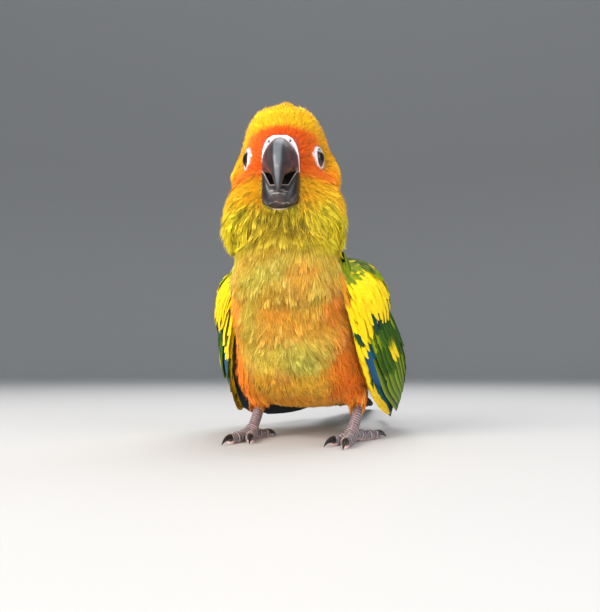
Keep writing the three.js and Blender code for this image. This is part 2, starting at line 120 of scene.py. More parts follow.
def ripple(p, size, seed=0.0):
    # smooth value in -1..1 that wanders over space, about size millimetres to a blotch
    q = np.asarray(p, float) / size * 2.6
    x, y, z = q[..., 0] + seed, q[..., 1] - seed * 1.7, q[..., 2] + seed * 0.6
    wave = np.sin(1.1 * x + 1.9 * np.sin(0.7 * y + 0.4 * z))
    wave = wave + np.sin(1.3 * y - 1.5 * np.sin(0.8 * z - 0.5 * x))
    return (wave + np.sin(0.9 * z + 1.7 * np.sin(0.6 * x + 0.9 * y))) / 3


class Path:
    # a smooth line through points, tighter round close ones
    def __init__(self, points):
        self.points = [np.array(p, float) for p in points]

    def at(self, t):
        p = self.points
        last = len(p) - 1
        x = last * t
        i = min(max(int(math.floor(x)), 0), last - 1)
        w = x - i
        before = p[i - 1] if i else 2 * p[0] - p[1]
        after = p[i + 2] if i + 2 <= last else 2 * p[last] - p[last - 1]
        a, b = p[i], p[i + 1]
        d0, d1, d2 = (((k - j) @ (k - j)) ** 0.25 for j, k in ((before, a), (a, b), (b, after)))
        t1 = ((a - before) / d0 - (b - before) / (d0 + d1) + (b - a) / d1) * d1
        t2 = ((b - a) / d1 - (after - a) / (d1 + d2) + (after - b) / d2) * d1
        return a + t1 * w + (3 * (b - a) - 2 * t1 - t2) * w**2 + (2 * (a - b) + t1 + t2) * w**3

    def heading(self, t):
        return unit(self.at(min(t + 1e-3, 1)) - self.at(max(t - 1e-3, 0)))


def rowsAt(rows, t):
    # rows of sizes, read between rows by a smooth curve
    rows = np.asarray(rows, float)
    last = len(rows) - 1
    x = last * t
    i = min(max(int(math.floor(x)), 0), last - 1)
    w = x - i
    a, b = rows[i], rows[i + 1]
    v0 = (b - rows[max(i - 1, 0)]) / 2
    v1 = (rows[min(i + 2, last)] - a) / 2
    return (2 * (a - b) + v0 + v1) * w**3 + (3 * (b - a) - 2 * v0 - v1) * w**2 + v0 * w + a


# Meshes
def setPoints(mesh, points):
    mesh.vertices.foreach_set("co", toMetres(points).astype(np.float32).ravel())


def addMarking(mesh, colours):
    # one colour at each point, which the finishes read
    layer = mesh.color_attributes.new("marking", "FLOAT_COLOR", "POINT")
    rgba = np.c_[np.clip(colours, 0, 1), np.ones(len(colours))].astype(np.float32)
    layer.data.foreach_set("color", rgba.ravel())


def editMesh(mesh, change):
    work = bmesh.new()
    work.from_mesh(mesh)
    change(work)
    work.to_mesh(mesh)
    work.free()


def addObject(name, data):
    made = bpy.data.objects.new(name, data)
    bpy.context.scene.collection.objects.link(made)
    return made


def buildMesh(name, points, faces, colours, barbs=None, patches=None, smooth=False):
    # points in bird millimetres; faces all triangles or all quads
    faces = np.asarray(faces, np.int32)
    corner = faces.ravel()
    mesh = bpy.data.meshes.new(name)
    mesh.vertices.add(len(points))
    setPoints(mesh, points)
    mesh.loops.add(faces.size)
    mesh.loops.foreach_set("vertex_index", corner)
    mesh.polygons.add(len(faces))
    mesh.polygons.foreach_set("loop_start", np.arange(0, faces.size, faces.shape[1], dtype=np.int32))
    mesh.polygons.foreach_set("use_smooth", np.full(len(faces), smooth))
    mesh.update(calc_edges=True)
    for title, values in (("OFBake", patches), ("barbs", barbs)):
        if values is not None:
            layer = mesh.uv_layers.new(name=title)
            layer.data.foreach_set("uv", np.asarray(values, np.float32)[corner].ravel())
    if colours is not None:
        addMarking(mesh, colours)
    return addObject(name, mesh)


def deselectAll():
    for o in bpy.context.view_layer.objects:
        o.select_set(False)


def onlySelect(*pieces):
    deselectAll()
    for o in pieces:
        o.select_set(True)
    bpy.context.view_layer.objects.active = pieces[0]


def joined(name, pieces):
    onlySelect(*pieces)
    bpy.ops.object.join()
    whole = bpy.context.view_layer.objects.active
    whole.name = whole.data.name = name
    return whole


def modify(piece, steps):
    # adds modifiers, each a kind and its settings, and applies them in turn
    for kind, settings in steps:
        modifier = piece.modifiers.new(kind.lower(), kind)
        for key, value in settings.items():
            setattr(modifier, key, value)
    onlySelect(piece)
    for modifier in list(piece.modifiers):
        bpy.ops.object.modifier_apply(modifier=modifier.name)


def setDown(piece, material, slot, *nodes):
    piece.data.materials.clear()
    piece.data.materials.append(material)
    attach(piece, "root")
    if nodes:
        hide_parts(*nodes)


def gridFaces(rows, columns, looped=False):
    # quads of a skin that closes round each row of points, and also from its last row to its first if looped
    r, c = np.meshgrid(np.arange(rows if looped else rows - 1), np.arange(columns), indexing="ij")
    after, beside = (r + 1) % rows * columns, (c + 1) % columns
    return np.stack([r * columns + c, r * columns + beside, after + beside, after + c], -1).reshape(-1, 4)


def loft(name, rings, colours=None):
    # closed skin through rings of equal length, its ends filled, its faces outward
    rings = np.asarray(rings, float)
    rows, columns = rings.shape[:2]
    piece = buildMesh(name, rings.reshape(-1, 3), gridFaces(rows, columns), colours, smooth=True)

    def closeEnds(work):
        work.verts.ensure_lookup_table()
        for start in (0, (rows - 1) * columns):
            work.faces.new([work.verts[start + k] for k in range(columns)]).smooth = True
        bmesh.ops.remove_doubles(work, verts=work.verts, dist=1e-7)
        bmesh.ops.recalc_face_normals(work, faces=work.faces)

    editMesh(piece.data, closeEnds)
    return piece


# Shader maths
class Value:
    def __init__(self, tree, socket):
        self.tree = tree
        self.socket = socket

    def maths(self, operation, *others):
        return self.tree.node("ShaderNodeMath", {"operation": operation}, [self, *others])

    def __add__(self, other):
        return self.maths("ADD", other)

    __radd__ = __add__

    def __mul__(self, other):
        return self.maths("MULTIPLY", other)

    __rmul__ = __mul__

    def __sub__(self, other):
        return self.maths("SUBTRACT", other)

    def __rsub__(self, other):
        return self.tree.node("ShaderNodeMath", {"operation": "SUBTRACT"}, [other, self])


class Finish:
    # one material and the nodes that feed its surface
    def __init__(self, name, **sockets):
        self.material = bpy.data.materials.new(name)
        self.material.use_nodes = True
        self.nodes = self.material.node_tree.nodes
        self.links = self.material.node_tree.links
        self.surface = next(n for n in self.nodes if n.type == "BSDF_PRINCIPLED")
        for title, value in sockets.items():
            self.surface.inputs[title.replace("_", " ")].default_value = value

    def node(self, kind, settings=None, inputs=(), output=0):
        made = self.nodes.new(kind)
        for key, value in (settings or {}).items():
            setattr(made, key, value)
        pairs = inputs.items() if isinstance(inputs, dict) else enumerate(inputs)
        for key, value in pairs:
            if isinstance(value, Value):
                self.links.new(value.socket, made.inputs[key])
            else:
                made.inputs[key].default_value = value
        return Value(self, made.outputs[output])

    def feed(self, title, value):
        self.links.new(value.socket, self.surface.inputs[title])

    def place(self):
        return self.node("ShaderNodeTexCoord", output="Object")

    def marks(self):
        # the colours that addMarking laid on the piece
        return self.node("ShaderNodeAttribute", {"attribute_name": "marking"})

    def noise(self, scale, detail):
        return self.node("ShaderNodeTexNoise", {}, {"Vector": self.place(), "Scale": scale, "Detail": detail})

    def blend(self, share, a, b, how="MIX"):
        settings = {"data_type": "RGBA", "blend_type": how}
        return self.node("ShaderNodeMix", settings, {0: share, 6: a, 7: b}, output=2)

    def shaded(self, colour, tone):
        shade = self.node("ShaderNodeCombineColor", {}, [tone, tone, tone])
        return self.blend(1.0, colour, shade, "MULTIPLY")

    def bump(self, height, strength, distance):
        return self.node("ShaderNodeBump", {}, {"Strength": strength, "Distance": distance, "Height": height})


def plumage(name, roughness, sheen, gloss, barbPitch, barbStrength):
    # colour from the piece's own markings, fine barbs from its barbs map
    finish = Finish(name, Sheen_Weight=sheen, Sheen_Roughness=0.45, Specular_IOR_Level=gloss)
    mark = finish.marks()
    barbs = finish.node("ShaderNodeUVMap", {"uv_map": "barbs"})
    across = finish.node("ShaderNodeSeparateXYZ", {}, [barbs], output="X")
    along = finish.node("ShaderNodeSeparateXYZ", {}, [barbs], output="Y")
    slant = along - across.maths("ABSOLUTE") * 0.9
    wobble = finish.noise(900.0, 2.0)
    strand = (slant * (2 * math.pi / barbPitch) + wobble * 2.0).maths("SINE")
    grain = finish.noise(1600.0, 4.0)
    finish.feed("Base Color", finish.shaded(mark, strand * 0.07 + grain * 0.4 + 0.86))
    finish.feed("Roughness", grain * 0.25 + (roughness - 0.12))
    finish.feed("Normal", finish.bump(strand, barbStrength, 0.08 * mm))
    return finish.material


softPlumage = plumage("body_feathers", 0.68, 0.08, 0.18, barbPitch=0.42, barbStrength=0.25)
flightPlumage = plumage("flight_feathers", 0.55, 0.02, 0.08, barbPitch=0.5, barbStrength=0.4)
print("plumage finishes made")

# The head's own axes: turned a little to the bird's left, origin between the eyes
headPlace = {"turn": math.radians(10), "at": (-1.1, -22.5, 100.5)}
headTurn = np.array(Matrix.Rotation(headPlace["turn"], 3, "Z"))
headAt = np.array(headPlace["at"])


def inHead(p):
    # left, ahead, up from between the eyes
    q = (np.asarray(p, float) - headAt) @ headTurn
    return np.stack([q[..., 0], -q[..., 1], q[..., 2]], -1)


def fromHead(q):
    q = np.asarray(q, float)
    return np.stack([q[..., 0], -q[..., 1], q[..., 2]], -1) @ headTurn.T + headAt


eyes = {"span": 10.3, "ahead": -0.9, "height": 0.2, "radius": 4.2, "pupil": 2.0, "angle": math.radians(70)}


def eyeMiddle(side):
    return np.array([side * eyes["span"], eyes["ahead"], eyes["height"]])


def eyeAim(side):
    return unit([side * math.sin(eyes["angle"]), math.cos(eyes["angle"]), 0.03])


# Body line from neck to tail root, with half width, depth in front and behind
bodyRows = [
    (-1.2, -17.5, 80, 16.5, 14.5, 15), (-1.6, -15.8, 69, 18.4, 16.5, 15.5), (-2, -11.5, 58, 20, 20, 17),
    (-1.8, -4.5, 49, 21.6, 25.5, 20), (-1.2, 4, 41, 23.4, 29, 21.5), (-0.5, 13, 34.5, 25.6, 25.5, 22),
    (0, 24, 30, 26.6, 18.8, 20.5), (0, 36, 27, 23, 13, 16.5), (0, 47.5, 23.5, 17, 9.6, 12),
    (0, 58, 19.5, 12, 6.8, 7.8), (0, 67, 16.5, 9, 4.8, 5),
]
bodyPath = Path([row[:3] for row in bodyRows])
bodySteps = np.linspace(0, 1, 121)
bodyLine = np.array([bodyPath.at(t) for t in bodySteps])
bodyHeading = np.array([bodyPath.heading(t) for t in bodySteps])
bodySizes = np.array([rowsAt([row[3:] for row in bodyRows], t) for t in bodySteps])
pointsAtOnce = 20000  # looked up on the body line together, to spare memory


def alongBody(p):
    # for each point: place on the body line, share round to the back, share to the side
    p = np.asarray(p, float)
    near = np.empty(len(p), int)
    for start in range(0, len(p), pointsAtOnce):
        part = p[start : start + pointsAtOnce, None, :] - bodyLine[None]
        near[start : start + pointsAtOnce] = (part**2).sum(-1).argmin(1)
    heading = bodyHeading[near]
    dorsal = unit(np.cross([1.0, 0, 0], heading))
    off = p - bodyLine[near]
    rise = (off * dorsal).sum(-1)
    depth = np.where(rise > 0, bodySizes[near, 2], bodySizes[near, 1])
    return near / (len(bodySteps) - 1), rise / depth, off[:, 0] / bodySizes[near, 0], heading


# Markings
shades = palette(
    crown=(250, 202, 20), crownSide=(240, 178, 34), forehead=(244, 76, 14), lores=(246, 110, 36),
    underEye=(248, 134, 36), cheek=(255, 202, 40), ruff=(208, 198, 44), throat=(190, 164, 48),
    nape=(234, 176, 44), neck=(206, 178, 76), collar=(206, 160, 58), breast=(216, 168, 58),
    # belly: the belly's own orange-yellow, lightened to stand for light bounced up onto it from below
    mid=(218, 200, 88), low=(234, 190, 62), belly=(255, 192, 74), olive=(190, 188, 84), glow=(228, 142, 50),
    pale=(232, 208, 124), flank=(246, 120, 42), back=(222, 170, 44), backGreen=(112, 136, 46),
    # mouth: the mouth's dark lining, darkened further as painted shade inside it
    rump=(226, 136, 40), vent=(150, 142, 40), mouth=(24, 14, 14), lid=(224, 212, 216),
)
# Where each shade lies down the front, as a share of the body's line
frontBands = [
    (0.0, "neck"), (0.14, "neck"), (0.19, "collar"), (0.24, "breast"), (0.295, "mid"), (0.36, "low"),
    (0.45, "belly"), (1.0, "belly"),
]


def frontMarking(p, t, flanks):
    stops = [stop for stop, _ in frontBands]
    tones = np.array([shades[name] for _, name in frontBands])
    wander = t + 0.012 * ripple(p, 14, 3.0)
    front = np.stack([np.interp(wander, stops, tones[:, k]) for k in range(3)], -1)
    flanks = flanks + 0.1 * ripple(p * [1, 1, 0.6], 6, 5.0)
    return layered(
        shades, front,
        ("olive", 0.7 * ease(0.05, 0.6, ripple(p * [1, 1, 1.8], 13, 2.0)) * (1 - ease(0.34, 0.42, t))),
        ("pale", 0.6 * ease(0.3, 0.8, ripple(p * [1, 1, 1.5], 7, 12.0)) * (1 - ease(0.36, 0.44, t))),
        ("glow", 0.5 * ease(0.1, 0.7, ripple(p * [1, 1, 1.8], 12, 7.0))),
        ("flank", ease(0.36, 0.84, flanks) * ease(0.25, 0.38, t + 0.01 * ripple(p, 7, 1.0)) * 0.9),
        ("flank", ease(0.55, 0.92, flanks) * ease(0.12, 0.2, t) * 0.6),
        ("vent", ease(0.66, 0.85, t)),
    )


def headMarking(p):
    left, ahead, up = inHead(p).T
    side = np.abs(left)
    ruffAt = -up - 4.5 * (1 - ease(9, 14.5, side)) + 1.5 * ripple(p, 6, 1.0)
    under = ease(-1.5, 3, -up) * (1 - ease(6, 10, -up)) * ease(-8, 3, ahead)
    ragged = up + 0.5 * ripple(p, 1.6, 4.0)
    around = (1 - ease(5.5, 9.0, ragged)) * ease(-3, 1, up) * ease(-2, 5, ahead)
    nearBill = (1 - ease(6.8, 8.8, side)) * ease(-9, -5, up) * (1 - ease(4, 7, up)) * ease(3, 6, ahead)
    return layered(
        shades, "crown",
        ("crownSide", ease(8, 15, side) * (1 - ease(8, 18, up)) * 0.8),
        ("nape", ease(8, 18, -ahead) * 0.9),
        ("cheek", ease(2, 8, -up) * (1 - ease(14, 24, -ahead))),
        ("ruff", ease(11, 17.5, ruffAt) * (0.85 + 0.15 * ripple(p, 5, 3.0))),
        ("throat", ease(18, 24, -up) * (1 - ease(8, 15, side)) * 0.8),
        ("underEye", 0.85 * under),
        ("lores", around * (1 - ease(15, 18, side)) * 0.9),
        ("forehead", around * (1 - ease(6.5, 12, side))),
        ("lores", (1 - ease(4, 8, np.abs(up + 1.0))) * ease(-4, 2.5, ahead) * (1 - ease(16, 19, side))),
        ("forehead", 0.7 * nearBill),
    )


def marking(p):
    # the bird's own colour at each place
    p = np.asarray(p, float)
    t, dorsal, lateral, _ = alongBody(p)
    back = layered(
        shades, "back",
        ("backGreen", 0.75 * ease(-0.2, 0.45, ripple(p, 8, 9.0))),
        ("rump", ease(0.55, 0.75, t) * 0.8),
        ("backGreen", ease(0.85, 0.95, t) * 0.8),
    )
    body = over(frontMarking(p, t, np.abs(lateral)), back, ease(0.0, 0.35, dorsal) * ease(0.02, 0.12, t))
    return over(body, headMarking(p), ease(68, 73, p[:, 2] + 1.2 * ripple(p, 5, 4.0)))


# Skin under the coat
skinSizes = {"voxel": 0.85 * mm, "grow": 0.35 * mm, "smoothing": 7, "body": 1.3, "face": 0.45}


def mergedCopy(node):
    mesh = frame["nodes"][node].data.copy()
    editMesh(mesh, lambda work: bmesh.ops.remove_doubles(work, verts=work.verts, dist=1e-6))
    return addObject("flesh", mesh)


fleshNodes = ["head", "neck", "torso", "rump", "thigh_left", "thigh_right"]
underNodes = ["eyelids_left", "eyelids_right", "eye_left", "eye_right", "bill_lower"]  # it closes under these
skin = joined("skin", [mergedCopy(node) for node in fleshNodes + underNodes])
modify(skin, (
    ("DISPLACE", {"strength": skinSizes["grow"], "mid_level": 0.0}),
    ("REMESH", {"mode": "VOXEL", "voxel_size": skinSizes["voxel"], "use_smooth_shade": True}),
    ("SMOOTH", {"factor": 0.5, "iterations": skinSizes["smoothing"]}),
))


def meshArrays(mesh):
    # points, normals and triangles
    co = np.empty(len(mesh.vertices) * 3, np.float32)
    mesh.vertices.foreach_get("co", co)
    normals = np.empty(len(mesh.vertices) * 3, np.float32)
    mesh.vertices.foreach_get("normal", normals)
    mesh.calc_loop_triangles()
    tris = np.empty(len(mesh.loop_triangles) * 3, np.int32)
    mesh.loop_triangles.foreach_get("vertices", tris)
    return toBird(co.reshape(-1, 3)), normals.reshape(-1, 3).astype(float), tris.reshape(-1, 3)


def faceShare(p):
    # 1 on the small feathers of the face, 0 past the cheeks
    left, ahead, up = inHead(p).T
    below = np.maximum(np.abs(up + 6) - 5, 0)
    reach = np.sqrt((left * 0.85) ** 2 + ((ahead - 11) * 0.75) ** 2 + (below * 0.9) ** 2)
    return 1 - ease(8, 16, reach)


skinPoints, skinNormals, _ = meshArrays(skin.data)
depth = mix(skinSizes["body"], skinSizes["face"], faceShare(skinPoints)) + skinSizes["grow"] / mm
setPoints(skin.data, skinPoints - skinNormals * depth[:, None])
skin.data.update()
skinPoints, skinNormals, skinTris = meshArrays(skin.data)
skinTree = BVHTree.FromPolygons(skinPoints.tolist(), skinTris.tolist())
print("skin made,", len(skinTris), "triangles")


def inMouth(p):
    left, ahead, up = inHead(p).T
    return (np.abs(left) < 6.6) & (ahead > 2) & (up < -5.5) & (up > -17)


def eyeReach(p):
    # distance from the nearer eye's axis, on the outside of the head
    q = inHead(p)
    reach = np.full(len(q), 99.0)
    for side in (1, -1):
        off = q - eyeMiddle(side)
        aim = eyeAim(side)
        far = off @ aim
        around = np.linalg.norm(off - far[:, None] * aim, axis=1)
        reach = np.where(far > -1, np.minimum(reach, around), reach)
    return reach


# middle of the painted shade round the lower bill, where the bill meets the feathers
jawShadeMiddle = [0, 10, -17]
jawShadeReach = np.linalg.norm(inHead(skinPoints) - jawShadeMiddle, axis=1)
# the skin takes the plumage colours darkened to 0.62, painted shade under the coat; in the mouth it takes the
# very dark mouth tone, the mouth's dark lining with painted shade
skinColour = over(marking(skinPoints) * 0.62, shades["mouth"], inMouth(skinPoints))
skinColour = over(skinColour, skinColour * 0.35, 1 - ease(6, 9, jawShadeReach))
addMarking(skin.data, over(skinColour, shades["lid"], 1 - ease(4.3, 4.9, eyeReach(skinPoints))))
skinFinish = Finish("skin_under_coat", Roughness=0.75)
skinMark = skinFinish.marks()
down = skinFinish.noise(700.0, 4.0)
skinFinish.feed("Base Color", skinFinish.blend(down * 0.25, skinMark, (0.03, 0.02, 0.01, 1)))
skinFinish.feed("Normal", skinFinish.bump(down, 0.5, 0.2 * mm))
skinFinish = skinFinish.material
setDown(skin, skinFinish, "plumage_breast", *fleshNodes)

# Coat of small feathers
billRoot = np.array([0.0, 10.5, -3.0])


def lie(p, n):
    # the way the feathers point at each place on the skin
    q = inHead(p)
    away = unit(q - billRoot)
    behind = ease(-4, 22, -q[:, 1])
    away[:, 2] -= 1.7 * behind * (1 - 0.5 * ease(10, 18, q[:, 2]))
    away[:, 2] -= 0.5 * ease(4, 16, -q[:, 2])
    for side in (1, -1):
        off = q - eyeMiddle(side)
        aim = eyeAim(side)
        off = off - (off @ aim)[:, None] * aim
        gap = np.linalg.norm(off, axis=1)
        ahead = ease(-1, 2.5, off[:, 1])
        push = (1.5 - 1.3 * ahead) * np.exp(-((gap / 5.8) ** 4)) * (q[:, 0] * side > 0)
        away += unit(off) * push[:, None]
    headFlow = unit(away) * [1, -1, 1] @ headTurn.T
    t, dorsal, lateral, heading = alongBody(p)
    bodyFlow = heading + np.array([0.25, 0, 0]) * lateral[:, None] * ease(0.1, 0.3, t)[:, None]
    bodyFlow[:, 2] -= 0.35 * ease(0.2, 0.6, t) * (1 - ease(0, 0.3, dorsal))
    flow = mix(bodyFlow, headFlow, ease(66, 76, p[:, 2])[:, None])
    return unit(offAxis(flow, n))


leaf = {"notch": 0.4, "shoulder": 0.3, "widest": 0.62}


def leafShape(fingers):
    # one small feather as a thin closed leaf: places along, across and up, and its triangles
    peaks = np.linspace(-0.82, 0.82, fingers) if fingers > 1 else np.array([0.0])
    outline = [(0.0, 0.0), (leaf["shoulder"], -0.8)]
    if fingers > 2:
        outline.append((leaf["widest"], -1.0))
    for k, w in enumerate(peaks):
        outline.append((1 - 0.14 * w * w, w))
        if k + 1 < fingers:
            outline.append((1 - leaf["notch"], (w + peaks[k + 1]) / 2))
    if fingers > 2:
        outline.append((leaf["widest"], 1.0))
    outline.append((leaf["shoulder"], 0.8))
    count = len(outline)
    near, far, below = count, count + 1, count + 2
    points = [(s, w, 0.0) for s, w in outline] + [(0.3, 0.0, 1.0), (0.66, 0.0, 0.8), (0.45, 0.0, -1.0)]
    top = [near if (outline[k][0] + outline[(k + 1) % count][0]) / 2 < 0.46 else far for k in range(count)]
    triangles = []
    for k in range(count):
        after = (k + 1) % count
        triangles += [(k, top[k], after), (k, after, below)]
        if top[k] != top[after]:
            triangles.append((after, top[k], top[after]))
    return np.array(points), np.array(triangles)


def spread(points, spacing, keep):
    # goes through the places that may be kept, and keeps those no nearer than their spacing to a kept one
    cell = 2.2
    taken = {}
    chosen = []
    steps = [(i, j, k) for i in (-1, 0, 1) for j in (-1, 0, 1) for k in (-1, 0, 1)]
    rows = points.tolist()
    cells = np.floor(points / cell).astype(int).tolist()
    gaps = spacing.tolist()
    for index in np.nonzero(keep)[0].tolist():
        x, y, z = rows[index]
        a, b, c = cells[index]
        limit = gaps[index] ** 2
        clear = True
        for i, j, k in steps:
            for u, v, w in taken.get((a + i, b + j, c + k), ()):
                if (u - x) ** 2 + (v - y) ** 2 + (w - z) ** 2 < limit:
                    clear = False
                    break
            if not clear:
                break
        if clear:
            taken.setdefault((a, b, c), []).append((x, y, z))
            chosen.append(index)
    return np.array(chosen)


def scatter(spacingAt, tries):
    # random places on the skin, about tries of them for each square of the spacing
    corner = skinPoints[skinTris]
    area = np.linalg.norm(np.cross(corner[:, 1] - corner[:, 0], corner[:, 2] - corner[:, 0]), axis=1) / 2
    weight = area / spacingAt(corner.mean(1)) ** 2
    pick = draw.choice(len(area), int(weight.sum() * tries), p=weight / weight.sum())
    a, b = np.sqrt(draw.random(len(pick))), draw.random(len(pick))
    share = np.stack([1 - a, a * (1 - b), a * b], -1)[:, :, None]
    places = (corner[pick] * share).sum(1)
    normals = unit((skinNormals[skinTris[pick]] * share).sum(1))
    return places, normals


def onSkin(points):
    places, normals = np.empty_like(points), np.empty_like(points)
    for k, p in enumerate(points):
        found, normal, _, _ = skinTree.find_nearest(p)
        places[k] = found
        normals[k] = normal
    return places, normals


# Away from the face, then on it
coatSizes = {
    "spacing": (0.66, 1.05), "length": (2.4, 7.6), "half": (0.36, 1.05), "rise": (0.25, 0.7),
    "hairsPerMm": (10.0, 4.0), "hairLength": (2.3, 6.2), "hairHalf": (0.085, 0.16), "hairRise": (0.5, 1.15),
}
# The two layers: their sizes above, their thickness, how far they lean about, and how deep they root
coatLayers = {
    "coat": {"sizes": ("length", "half", "rise"), "thick": 0.08, "loose": 0.1, "sink": 0.25},
    "down": {"sizes": ("hairLength", "hairHalf", "hairRise"), "thick": 0.05, "loose": 0.16, "sink": -0.1},
}


def sizeAt(key, p):
    low, high = coatSizes[key]
    return mix(high, low, faceShare(p))


def ruffShare(p):
    # 1 on the longer, clumped feathers of the cheeks and throat
    _, _, up = inHead(p).T
    return ease(5, 13, -up) * ease(71, 75, p[:, 2]) * (1 - 0.7 * faceShare(p))


def tufts(name, places, normals, sizes, layer, shape, tint, patches, slot, rootShade):
    # joined mesh of small feathers that follow the skin from root to tip
    length, half, rise = sizes
    outline, triangles = shape
    count, per = len(places), len(outline)
    ruff = ruffShare(places)
    swing = draw.normal(0, layer["loose"], count)
    swing = swing + (0.18 + 0.35 * ruff) * ripple(places, mix(3.4, 2.4, ruff[:, None]), 5.0)
    swing = swing + 0.34 * ripple(places, 11, 8.0) * (1 - ease(66, 74, places[:, 2]))
    flow = lie(places, normals)
    flow = unit(flow + np.cross(normals, flow) * swing[:, None])
    middle, middleNormal = onSkin(places + flow * (length * 0.5)[:, None])
    onward = unit(offAxis(flow, middleNormal))
    tip, tipNormal = onSkin(middle + onward * (length * 0.5)[:, None])
    root = places - normals * layer["sink"]
    middle = middle + middleNormal * (rise * 0.62)[:, None]
    tip = tip + tipNormal * rise[:, None]
    # off to the side of its clump's middle, each tip is drawn back to it
    astray = places - clumpRoots[[clumpTree.find(p)[1] for p in places]]
    astray = offAxis(astray, normals) - (astray * flow).sum(-1, keepdims=True) * flow
    pull = (clumps["pull"] + clumps["ruffPull"] * ruff)[:, None]
    tip = tip - astray * pull
    middle = middle - astray * pull * 0.4
    aside = np.linalg.norm(astray, axis=1) / clumpGap(places)
    cheek = np.maximum(ruff, ease(4, 9, -inHead(places)[:, 2]) * ease(71, 75, places[:, 2]))
    # darker towards the edges of each clump: painted shade in the creases between clumps
    creaseShade = 1 - (clumps["creaseShade"] + clumps["ruffCreaseShade"] * cheek) * ease(0.2, 0.75, aside)
    tip = tip + tipNormal * (0.9 * cheek * (1 - ease(0.1, 0.7, aside)))[:, None]
    # s runs along each feather, w across it and h out from it
    s, w, h = outline.T
    s = s[None, :, None] * (1 + draw.normal(0, 0.05, (count, per)) * (s > 0.5))[:, :, None]
    w = w[None, :, None] + draw.normal(0, 0.07, (count, per, 1)) * (np.abs(w) > 0.1)[None, :, None]
    line = (root[:, None] * (1 - s) * (1 - 2 * s) + middle[:, None] * 4 * s * (1 - s)
            + tip[:, None] * s * (2 * s - 1))
    sideways = unit(np.cross(unit(normals + tipNormal), flow))[:, None]
    face = unit(normals[:, None] * (1 - s) + tipNormal[:, None] * s)
    wide = half[:, None, None]
    hook = draw.normal(0, 0.12, count)[:, None, None] * wide * s * s * 2
    points = line + sideways * (w * wide + hook) + face * (h[None, :, None] * layer["thick"])
    faces = (triangles[None] + (np.arange(count) * per)[:, None, None]).reshape(-1, 3)
    tone = 1 + draw.normal(0, 0.09, (count, 1, 1))
    along = np.clip(outline[:, 0], 0, 1)[None, :, None]
    # darker towards each root: the feathers' grey bases and painted shade under the ones that lie over them
    rootAndCreaseShade = (rootShade + (1 - rootShade) * ease(0.05, 0.7, along)) * creaseShade[:, None, None]
    colours = tint[:, None] * tone * rootAndCreaseShade
    barbs = np.stack([w[:, :, 0] * half[:, None], s[:, :, 0] * length[:, None]], -1).reshape(-1, 2)
    spot = np.stack([outline[:, 1] * 0.0015, (outline[:, 0] - 0.5) * 0.003], -1)
    bake = (patches[:, None] + spot[None]).reshape(-1, 2)
    piece = buildMesh(name, points.reshape(-1, 3), faces, colours.reshape(-1, 3), barbs, bake)
    setDown(piece, softPlumage, slot)


def patchAt(left, ahead, share):
    # place on the texture from the turn round the body and the share along it
    return np.stack([0.5 + np.arctan2(left, ahead) / (2 * math.pi) * 0.98, 0.02 + 0.96 * share], -1)


def headPatch(p):
    left, ahead, up = inHead(p).T
    low, high = -36, 22
    return patchAt(left, ahead, np.clip((up - low) / (high - low), 0, 1))


def bodyPatch(p):
    t, dorsal, lateral, _ = alongBody(p)
    return patchAt(lateral, -dorsal, t)


def spacingAt(p):
    _, dorsal, _, _ = alongBody(p)
    body = 1 - ease(66, 74, p[:, 2])
    return sizeAt("spacing", p) * (1 + body * (0.1 + 0.3 * ease(0, 0.3, dorsal)))


def staysBare(p):
    # eyes, mouth, bill and the feet below the thighs
    left, ahead, up = inHead(p).T
    side = np.abs(left)
    atEye = eyeReach(p) < 4.25 + 0.25 * (ahead > -1.5)
    atCere = (side < 6.1) & (ahead > 6.5) & (up < 4.1) & (up > -9)
    atJaw = (side < 6.2 - 1.1 * np.maximum(-18.3 - up, 0)) & (ahead > 4) & (up <= -9) & (up > -20.4)
    return atEye | (inMouth(p) & (side < 5.6)) | atCere | atJaw | (p[:, 2] < 9.5)


places, normals = scatter(spacingAt, 2.2)
chosen = spread(places, spacingAt(places) * 0.92, ~staysBare(places))
places, normals = places[chosen], normals[chosen]
print("coat roots placed,", len(places))

# The small feathers lean together in clumps, most on the cheeks and throat, with painted shade in the creases
# between the clumps
clumps = {"gap": (2.1, 1.25), "pull": 0.28, "ruffPull": 0.5, "creaseShade": 0.16, "ruffCreaseShade": 0.42}


def clumpGap(p):
    return mix(*clumps["gap"], faceShare(p))


clumpRoots = places[spread(places, clumpGap(places), np.full(len(places), True))]
clumpTree = KDTree(len(clumpRoots))
for k, p in enumerate(clumpRoots):
    clumpTree.insert(p, k)
clumpTree.balance()

# Folds across the front: place down the body, half width, depth and how each one wanders
coatFolds = [
    (0.105, 0.016, 0.9, 2.0), (0.185, 0.02, 1.0, 3.0), (0.245, 0.018, 0.7, 9.0), (0.32, 0.024, 0.8, 5.0),
]


def foldShare(p, above=0.0):
    # how deep in a fold each place lies, or how far up the ledge over it
    t, dorsal, _, _ = alongBody(p)
    depth = np.zeros(len(p))
    for place, wide, strength, seed in coatFolds:
        line = place + 0.03 * ripple(p * [1, 0.3, 0.3], 22, seed) - above * wide
        broken = ease(-0.7, 0.3, ripple(p, 15, seed + 2))
        depth = np.maximum(depth, strength * band(t, line, wide * (1 + 0.6 * above)) * broken)
    return depth * (1 - ease(0.0, 0.3, dorsal)) * (p[:, 2] < 68)


